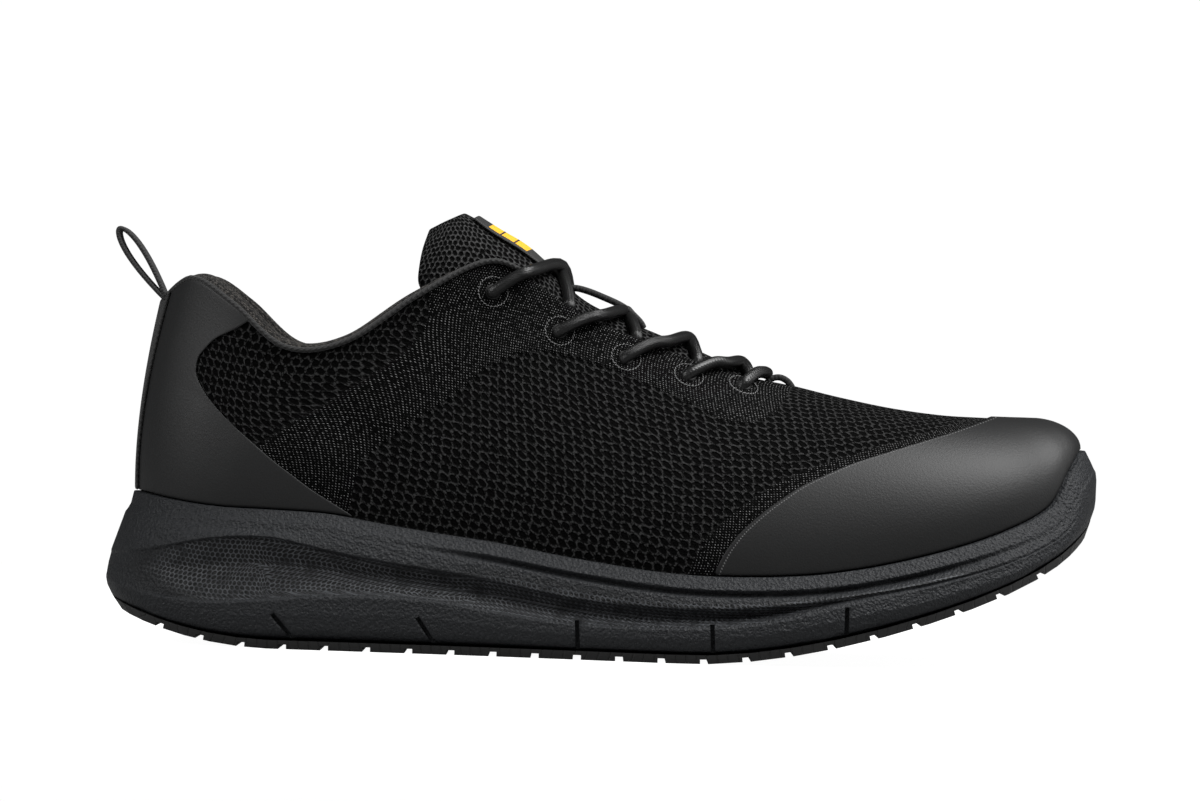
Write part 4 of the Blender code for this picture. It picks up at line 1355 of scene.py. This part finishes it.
TONGUE_TOP = (
    TongueRow(10.75, -0.068, 1.003, 0.205, 0.170, 0.095, 0.5),
    TongueRow(11.10, -0.088, 1.044, 0.208, 0.230, 0.150, 0.9),
    TongueRow(11.50, -0.116, 1.084, 0.212, 0.205, 0.150, 1.0),
    TongueRow(11.80, -0.137, 1.116, 0.185, 0.145, 0.100, 0.8),
    TongueRow(12.00, -0.150, 1.132, 0.145, 0.090, 0.048, 0.4),
)


@dataclass(frozen=True)
class Tongue:
    """The padded tongue with its label."""

    root: float = 6.5
    free: float = 10.0
    thin: float = 0.0035
    pad: float = 0.0060
    crown_rise: float = 0.0048
    label: float = 0.0008
    flap_shares: tuple[float, ...] = (0.84, 0.91, 0.975)

    def section(self, station: float) -> list[Vector]:
        """Nine points across the tongue's outer face, from the outer side to the inner side."""
        slack = 3 * LAST.gap
        left, right = ([LAST.under(at, share, slack) for share in self.flap_shares]
                       for at in (station, ROUND - station))
        if station <= VAMP_POINT:
            middle = LAST.under(station, 1.0, slack)
            middle.y = 0.0
            return left[:2] + [left[1].lerp(middle, 0.5), left[1].lerp(middle, 0.8), middle,
                               right[1].lerp(middle, 0.8), right[1].lerp(middle, 0.5)] + right[1::-1]
        rise = self.crown_rise * smooth(station, VAMP_POINT, VAMP_POINT + 1.5) + LAST.wall * 0.6
        direction = Vector((0.5, 0, 0.87))
        middle = left[2].lerp(right[2], 0.5) + direction * rise
        before, after = (side[2].lerp(middle, 0.55) + direction * 0.25 * rise for side in (left, right))
        return left + [before, middle, after] + right[::-1]

    def stations(self) -> list[float]:
        """Stations of the sections under the flaps."""
        return [self.root + step / 2 for step in range(int((self.free - self.root) * 2) + 1)]

    @lru_cache(maxsize=None)
    def sections(self) -> list[list[tuple[Vector, float]]]:
        """Sections from the root under the vamp to the free top, with their thickness."""
        found = [[(point, self.thin) for point in self.section(station)] for station in self.stations()]
        for row in TONGUE_TOP:
            crown = Vector((row.ahead * LAST.length, 0, row.rise * LAST.instep_height))
            points = []
            for step in range(-4, 5):
                turn = step / 4 * math.pi / 2
                bend = 1 - math.cos(turn)
                away = Vector((-row.back * bend, row.half * math.sin(turn), -row.down * bend))
                points.append((crown + away * LAST.ball_width, mix(self.thin, self.pad, row.pad)))
            found.append(points)
        return found

    def crown_at(self, station: float) -> Vector:
        """The top of the tongue's middle line at a station."""
        stations = self.stations() + [row.station for row in TONGUE_TOP]
        middles = [section[4][0] for section in self.sections()]
        for low, high, first, second in zip(stations, stations[1:], middles, middles[1:]):
            if station <= high:
                return first.lerp(second, (station - low) / (high - low))
        return middles[-1]

    def fine(self, sections: Grid, steps: int) -> Grid:
        """The sections drawn finer both ways along smooth lines."""
        wide = [smooth_route(section, steps) for section in sections]
        return [smooth_route(line, steps) for line in zip(*wide)]

    def build(self, knit: Skin) -> None:
        """The padded tongue, under the eyelet flaps and free above them."""
        sections = self.sections()
        places = self.fine([[point for point, _ in section] for section in sections], 4)
        depths = self.fine([[Vector((depth, 0, 0)) for _, depth in section] for section in sections], 4)
        walls = [[spot.x for spot in line] for line in depths]
        piece = sheet("tongue_pad", grid_mesh(places, walls), self.pad, (knit,), Finish.KNIT,
                      ("tongue",), varied=True)

    def build_label(self, weave: Skin) -> None:
        """The woven label on the front of the tongue's top."""
        rows = [[point for point, _ in section[3:6]] for section in self.sections()[-5:-1]]
        mesh = grid_mesh(self.fine(rows, 8))
        mesh.normal_update()
        for vert, normal in [(vert, vert.normal.copy()) for vert in mesh.verts]:
            vert.co += normal * (2 * LAST.gap + self.label)
        sheet("label_tape", mesh, self.label, (weave,), Finish.WEBBING, ("tongue_label",))


@dataclass
class Lacing:
    """The lace, its keeper and the loop at the foot of the throat."""

    tongue: Tongue
    lace: float = 0.0037
    crown_share: float = 0.66
    under_share: float = 0.92
    stop: float = 0.30
    below: float = 0.0032
    above: float = 0.0008
    clear: float = 0.0004
    bar_lift: float = 0.0012
    flap_passes: Line = ((0.20, 0.955), (0.40, 1.0))
    tuck_share: float = 0.80
    tuck_height: float = 0.985
    loop_tape: float = 0.0019
    keeper_width: float = 0.0090
    keeper_line: Line = (
        (-0.0128, 0.1088), (-0.0108, 0.1096), (-0.0074, 0.1090), (-0.0028, 0.1074), (0.0039, 0.1045),
        (0.0086, 0.1006), (0.0100, 0.0984),
    )
    loop_width: float = 0.0055
    loop_line: Line = (
        (0.0490, 0.0826), (0.0506, 0.0841), (0.0526, 0.0844), (0.0546, 0.0833), (0.0560, 0.0812),
    )

    @property
    def up(self) -> Vector:
        """The way that a strand is lifted off the tongue."""
        return Vector((0.4, 0, 0.9))

    def start(self, near: float, far: float, side: int) -> list[Vector]:
        """Where the lace comes up through an eyelet and passes over the edge of its flap.

        Args:
            near: The eyelet's station.
            far: The station that the strand runs towards.
            side: -1 on the outer side or +1 on the inner side.

        Returns:
            Points from below the eyelet to the flap's edge.
        """
        clear = self.lace / 2 + self.clear
        place, normal = LAST.eyelet(near, side)
        points = [place - normal * self.below, place + normal * self.above]
        for share, height in self.flap_passes:
            station = mix(near, far, share)
            at = station if side < 0 else ROUND - station
            lift = self.up if height == 1.0 else LAST.upper_normal(at, height)
            points.append(LAST.upper_point(at, height) + lift * clear)
        return points

    def strand(self, side: int, near: float, far: float, lift: float) -> list[Vector]:
        """A strand from one eyelet over the tongue and under the far flap.

        Args:
            side: The side it starts on, -1 outer or +1 inner.
            near: The station of its first eyelet.
            far: The station of the next eyelet.
            lift: Its height over the other strand.

        Returns:
            Points that it passes.
        """
        radius = self.lace / 2
        middle = self.tongue.crown_at(mix(near, far, self.crown_share)) + self.up * (radius + lift)
        under = mix(near, far, self.under_share)
        at = ROUND - under if side < 0 else under
        last = LAST.upper_point(at, 1.0)
        last.y *= self.tuck_share
        last += self.up * (radius * 0.2)
        inward = LAST.upper_normal(at, self.tuck_height) * (LAST.wall + radius)
        below = LAST.upper_point(at, self.tuck_height) - inward
        return [*self.start(near, far, side), middle, last, below]

    def build(self, cord: Skin) -> None:
        """One lace through all eyelets, from the top outer one to the top inner one."""
        strands = []
        for first_side in (-1, 1):
            points = []
            side = first_side
            for near, far in zip(EYELETS, EYELETS[1:]):
                lift = (0.5 if near == EYELETS[0] else 0.2) * self.lace if side < 0 else 0.0
                points += self.strand(side, near, far, lift)
                side = -side
            points += self.start(EYELETS[-1], EYELETS[-1] - self.stop, side)
            strands.append(points)
        crown = self.tongue.crown_at(EYELETS[-1] - 0.6 * self.stop)
        middle = crown + self.up * (self.lace / 2 + self.bar_lift)
        route = smooth_route([*strands[0], middle, *strands[1][::-1]], 6)
        nodes = [f"lace_cross_{row + 1}" for row in range(len(EYELETS) - 1)] + ["lace_front_bar"]
        shown("lace", tube_mesh(route, self.lace / 2, 14), (cord,), Finish.CORD, nodes)

    def build_loops(self, tape: Skin) -> None:
        """The keeper on the tongue and the small loop at the foot of the throat."""
        for name, line, width, node in (
            ("keeper_tape", self.keeper_line, self.keeper_width, "lace_keeper"),
            ("throat_tape", self.loop_line, self.loop_width, "throat_loop"),
        ):
            route = smooth_route([Vector((x, 0, z)) for x, z in line], 5)
            sheet(name, grid_mesh(strip(route, width)), self.loop_tape, (tape,), Finish.WEBBING, (node,))


@dataclass
class HeelTape:
    """The webbing down the back seam and the pull loop above it."""

    webbing: float = 0.0014
    seam_tape: float = 0.0010
    width: float = 0.0110
    pull_height: float = 0.0185
    pull_lean: float = 0.0130
    pull_width: float = 0.0066
    pull_sink: float = 0.0042

    def build(self, upper: Upper, tape: Skin) -> None:
        """The tape down the back seam."""
        half = self.width / 2

        def inside(point: Vector) -> bool:
            """Whether the point lies within the tape's width."""
            return abs(point.y) < half

        lift = LAST.gap + upper.film + self.seam_tape
        places, tones = upper.film_columns(float(HEEL), 1.5, inside, lift, 40, 13)
        sheet("back_seam_tape", grid_mesh(places, tones, flip=True), self.seam_tape, (tape,),
              Finish.WEBBING, ("heel_tape",))

    def build_pull_loop(self, tape: Skin) -> None:
        """The folded webbing loop that stands on the back of the collar."""
        foot = LAST.upper_point(float(HEEL), 1.0)
        foot = foot + Vector((-self.webbing, 0, 0.3 * LAST.collar_pad + 2 * LAST.gap))
        along = Vector((-self.pull_lean, 0, self.pull_height))
        across = Vector((along.z, 0, -along.x)).normalized()
        ahead = along.normalized()
        foot -= ahead * self.pull_sink
        along += ahead * self.pull_sink
        line = []
        for turn in shares(61):
            angle = 2 * math.pi * turn
            share = (1 - math.cos(angle)) / 2
            bulge = math.sin(angle) * (0.25 + 0.75 * share) * self.pull_width / 2
            outward = across * math.sin(angle) - ahead * math.cos(angle)
            line.append(foot + along * share + across * bulge + outward * self.webbing / 2)
        mesh = grid_mesh(strip(line, self.width))
        bmesh.ops.remove_doubles(mesh, verts=mesh.verts, dist=WELD)
        bmesh.ops.recalc_face_normals(mesh, faces=mesh.faces)
        sheet("pull_tape", mesh, self.webbing, (tape,), Finish.WEBBING, ("pull_loop",))


@dataclass
class Sole:
    """The foam midsole, the rubber outsole and the insole."""

    columns_per_station: int = 7
    rim_overlap: float = 0.0007
    ledge_drop: float = 0.0038
    slit_drop: float = 0.0053
    rib_drop: float = 0.0064
    slit_depth: float = 0.0014
    step_drop: float = 0.0009
    step_depth: float = 0.0011
    ridge_lip: float = 0.0006
    hollow_depth: float = 0.0025
    outsole: float = 0.0026
    crisp: float = 0.0005
    longest: float = 0.0035
    notch_width: float = 0.0013
    notch_length: float = 0.0095
    notch_depth: float = 0.0016
    notches: Line = (
        (-0.312, 0.028), (-0.170, 0.022), (-0.020, 0.002), (0.112, 0.002), (0.242, 0.000),
    )

    def profile(self, station: float) -> list[tuple[Vector, float]]:
        """Corners of the midsole's side at a station, from foot bed to parting line, each with its share
        of painted shade.
        """
        row = LAST.side_at(station)
        rim = LAST.rim_height(station)
        shelf, ridge = row.shelf * LAST.rim_rise, row.ridge * LAST.rim_rise

        def corner(edge: Inset, height: float | None, extra: float = 0.0, tone: float = 0.0) -> tuple:
            """One corner, at the parting line where height is None, with its share of painted shade."""
            place = LAST.outline(station, LAST.inset_at(station, edge) + extra)
            level = LAST.ground(place.x, place.y) + self.outsole + LAST.gap if height is None else height
            return Vector((place.x, place.y, level)), tone

        def between(low: Inset, high: Inset, edge: Inset, share: float) -> float:
            """Extra inset that brings an edge level with its neighbours where share is 0."""
            level = (LAST.inset_at(station, low) + LAST.inset_at(station, high)) / 2
            return (level - LAST.inset_at(station, edge)) * (1 - share)

        slit = max(0.0, min(1.0, row.slit))
        carve = max(0.0, min(1.0, row.carve))
        parting = corner(PARTING, None)
        bed_place = LAST.outline(station, LAST.inset_at(station, RIM) + LAST.lip + LAST.tuck)
        # Each tone is how much painted shade the foam gets at that corner, in the hollow, the slit and
        # under the steps, with hexagons where it is high
        return [
            corner(RIM, LAST.bed(bed_place.x), LAST.lip + LAST.tuck),
            corner(RIM, rim, LAST.lip + self.rim_overlap),
            corner(RIM, rim),
            corner(LEDGE, rim - self.ledge_drop),
            corner(SLIT, rim - self.slit_drop, slit * self.slit_depth + between(LEDGE, RIB, SLIT, slit),
                   0.35 * slit),
            corner(RIB, rim - self.rib_drop, 0.0, 0.25 * slit),
            corner(SHELF, shelf, 0.0, max(0.3 * carve, 0.7 * slit)),
            corner(SHELF, shelf - self.step_drop, self.step_depth * max(carve, 0.5 * slit),
                   max(0.8 * carve, 0.8 * slit)),
            corner(HOLLOW, mix(shelf, ridge, 0.42),
                   carve * self.hollow_depth + between(SHELF, RIDGE, HOLLOW, carve), carve),
            corner(RIDGE, ridge + self.step_drop, 0.7 * self.step_depth * carve, 0.60 * carve),
            corner(RIDGE, ridge, -self.ridge_lip * carve),
            corner(BAND, mix(ridge, parting[0].z, 0.4)),
            parting,
        ]

    def column(self, station: float) -> list[tuple[Vector, float]]:
        """The profile with supporting places beside each corner, so that it stays crisp."""
        corners = self.profile(station)
        found = [corners[0]]
        for (before, _), (here, tone), (after, _) in zip(corners, corners[1:], corners[2:]):
            for other in (before, after):
                span = (other - here).length
                near = min(self.crisp, 0.3 * span) / max(span, FINE)
                found.append((here.lerp(other, near), tone))
                if other is before:
                    found.append((here, tone))
        found.append(corners[-1])
        dense = [found[0]]
        for (before, low), (here, high) in zip(found, found[1:]):
            if (here - before).length > self.longest:
                dense.append((before.lerp(here, 0.5), mix(low, high, 0.5)))
            dense.append((here, high))
        return dense

    def cap(self, mesh: bmesh.types.BMesh, ring: Sequence[Vector], height: Callable) -> None:
        """Close a ring from side to side at the given height."""
        half = len(ring) // 2
        rows = []
        for index in range(half + 1):
            outer, inner = ring[index], ring[(len(ring) - index) % len(ring)]
            row = [outer.copy()]
            for share in shares(9)[1:-1]:
                place = outer.lerp(inner, share)
                row.append(Vector((place.x, place.y, height(place.x, place.y))))
            rows.append(row + [inner.copy()])
        add_grid(mesh, rows)

    def build_midsole(self, foam: Skin) -> None:
        """The foam sole: foot bed, raised rim, ledge, slit, hollow, ridge, band and notches."""
        count = ROUND * self.columns_per_station
        ring = [step / self.columns_per_station for step in range(count)]
        raw = [self.column(station) for station in ring]
        size = max(len(column) for column in raw)
        columns = [self.resample(column, size) for column in raw]
        columns.append(columns[0])
        mesh = grid_mesh([[place for place, _ in column] for column in columns],
                         [[tone for _, tone in column] for column in columns])
        self.cap(mesh, [column[0][0] for column in columns[:-1]], lambda x, y: LAST.bed(x))
        self.cap(mesh, [column[-1][0] for column in columns[:-1]],
                 lambda x, y: LAST.ground(x, y) + self.outsole + LAST.gap)
        bmesh.ops.remove_doubles(mesh, verts=mesh.verts, dist=WELD)
        bmesh.ops.recalc_face_normals(mesh, faces=mesh.faces)
        piece = shown("midsole_foam", mesh, (foam,), Finish.FOAM, ("midsole",))
        soften(piece)
        self.cut_notches(piece)

    @staticmethod
    def resample(column: Sequence[tuple[Vector, float]], size: int) -> list[tuple[Vector, float]]:
        """The column with its longest stretches split until it has size places."""
        found = list(column)
        while len(found) < size:
            spans = [(b[0] - a[0]).length for a, b in zip(found, found[1:])]
            index = spans.index(max(spans))
            (low, first), (high, second) = found[index], found[index + 1]
            found.insert(index + 1, (low.lerp(high, 0.5), mix(first, second, 0.5)))
        return found

    def cut_notches(self, piece: bpy.types.Object) -> None:
        """Cut the slanted notches of the lower band."""
        cuts = bmesh.new()
        for side in (-1, 1):
            for ahead, lean in self.notches:
                station = self.nearest_station(ahead * LAST.length, side)
                place, outward = LAST.outline(station), LAST.outward(station)
                foot = LAST.ground(place.x, place.y) + self.outsole
                middle = Vector((place.x, place.y, foot + 0.45 * self.notch_length))
                middle += Vector((outward.x, outward.y, 0)) * self.notch_depth
                tilt = math.atan2(lean * LAST.length, self.notch_length)
                turn = Matrix.Rotation(-tilt, 4, "Y")
                size = Matrix.Diagonal((self.notch_width, 6 * self.notch_depth, self.notch_length, 1))
                bmesh.ops.create_cube(cuts, size=1, matrix=Matrix.Translation(middle) @ turn @ size)
        cutter = mesh_object("notch_cuts", cuts)
        step = piece.modifiers.new("notches", "BOOLEAN")
        step.operation = "DIFFERENCE"
        step.solver = "EXACT"
        step.object = cutter
        cut = bpy.data.meshes.new_from_object(piece.evaluated_get(bpy.context.evaluated_depsgraph_get()))
        piece.modifiers.clear()
        piece.data = cut
        bpy.data.objects.remove(cutter)

    @staticmethod
    def nearest_station(x: float, side: int) -> float:
        """The station on one side whose outline lies at x."""
        found = last_passing(lambda station: LAST.outline(station).x > x, 0.5, HEEL - 0.5)
        return found if side < 0 else ROUND - found


@dataclass
class Studio:
    """The pale floor, the soft lights and the camera at the photograph's angle."""

    lens: float = 158.0
    sensor: float = 36.0
    place: Place = (-0.0018, -1.6, 0.07665)
    roll: float = -1.807
    floor: float = 0.6
    lights: tuple[tuple[str, Place, float, float], ...] = (
        ("key", (0.55, -0.25, 1.0), 0.8, 26.0),
        ("toe", (1.2, 0.15, 0.45), 0.6, 2.6),
        ("heel", (-1.0, -0.45, 0.7), 0.6, 9.0),
        ("front", (-0.2, -1.5, 0.7), 0.8, 2.0),
    )

    def build_camera(self) -> None:
        """The camera, level with the shoe and slightly rolled."""
        data = bpy.data.cameras.new("camera")
        data.lens = self.lens
        data.sensor_width = self.sensor
        camera = add_object("camera", data)
        camera.location = self.place
        camera.rotation_euler = (math.radians(90), math.radians(self.roll), 0)
        bpy.context.scene.camera = camera

    def add_light(self, name: str, place: Place, size: float, power: float) -> None:
        """A soft square light that faces the shoe."""
        data = bpy.data.lights.new(name, "AREA")
        data.shape = "SQUARE"
        data.size = size
        data.energy = power
        light = add_object(name, data)
        light.location = place
        light.rotation_euler = (Vector((0, 0, 0.05)) - Vector(place)).to_track_quat("-Z", "Y").to_euler()

    @staticmethod
    def brightness(graph: Graph, light: float, more: float) -> Socket:
        """A strength as light, with more added where the camera sees it directly."""
        seen = graph.node("LightPath").outputs["Is Camera Ray"]
        return graph.math("ADD", graph.times(seen, more), light)

    def build_lights(self) -> None:
        """A broad key from above and smaller lights from the toe, the heel and the front."""
        for light in self.lights:
            self.add_light(*light)
        world = bpy.data.worlds.new("studio")
        world.use_nodes = True
        graph = Graph(world.node_tree)
        background = world.node_tree.nodes["Background"]
        background.inputs["Color"].default_value = (1, 1, 1, 1)
        graph.feed(background.inputs["Strength"], self.brightness(graph, 0.06, 0.95))
        bpy.context.scene.world = world
        bpy.context.scene.view_settings.view_transform = "Standard"

    def build_floor(self) -> None:
        """The plain pale floor."""
        mesh = bmesh.new()
        bmesh.ops.create_grid(mesh, x_segments=1, y_segments=1, size=self.floor)
        floor = mesh_object("floor", mesh)
        material = Material("pale_floor", 0.9)
        material.colour((0.2, 0.2, 0.2, 1))
        material.shader.inputs["Emission Color"].default_value = (1, 1, 1, 1)
        strength = self.brightness(material.graph, 0.14, 0.84)
        material.graph.feed(material.shader.inputs["Emission Strength"], strength)
        floor.data.materials.append(material.made)


def dress_node(name: str, material: Skin) -> None:
    """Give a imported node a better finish."""
    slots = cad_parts[name].data.materials
    slots.clear()
    slots.append(material)


def main() -> None:
    """Build the studio, then the shoe from its sole up."""
    logging.basicConfig(level=logging.INFO, format="%(name)s %(message)s")
    studio = Studio()
    studio.build_camera()
    studio.build_lights()
    studio.build_floor()
    lining = LiningFinish().build()
    knit = KnitFinish().build()
    tape = WebbingFinish("webbing_tape").build()
    sole = Sole()
    sole.build_midsole(FoamFinish().build())
    dress_node("outsole", RubberFinish().build())
    dress_node("insole", lining)
    upper = Upper()
    upper.build_knit(knit, lining)
    upper.build_toe_guard(FilmFinish("toe_film", 0.52, dotted=True).build())
    upper.build_heel_counter(FilmFinish("counter_film", 0.55, tint=0.0085).build())
    upper.build_collar_pad(lining)
    upper.build_piping(WebbingFinish("piping_cloth", tint=0.005).build())
    lip = ThreadFinish("lip_thread", tint=0.002)
    upper.build_eyelets(ThreadFinish("eyelet_thread").build(), lip.build())
    tongue = Tongue()
    tongue.build(CoarseKnitFinish().build())
    tongue.build_label(LabelFinish().build())
    lacing = Lacing(tongue)
    lacing.build(LaceFinish().build())
    lacing.build_loops(tape)
    heel = HeelTape()
    heel.build(upper, tape)
    heel.build_pull_loop(tape)


if __name__ == "__main__":
    main()
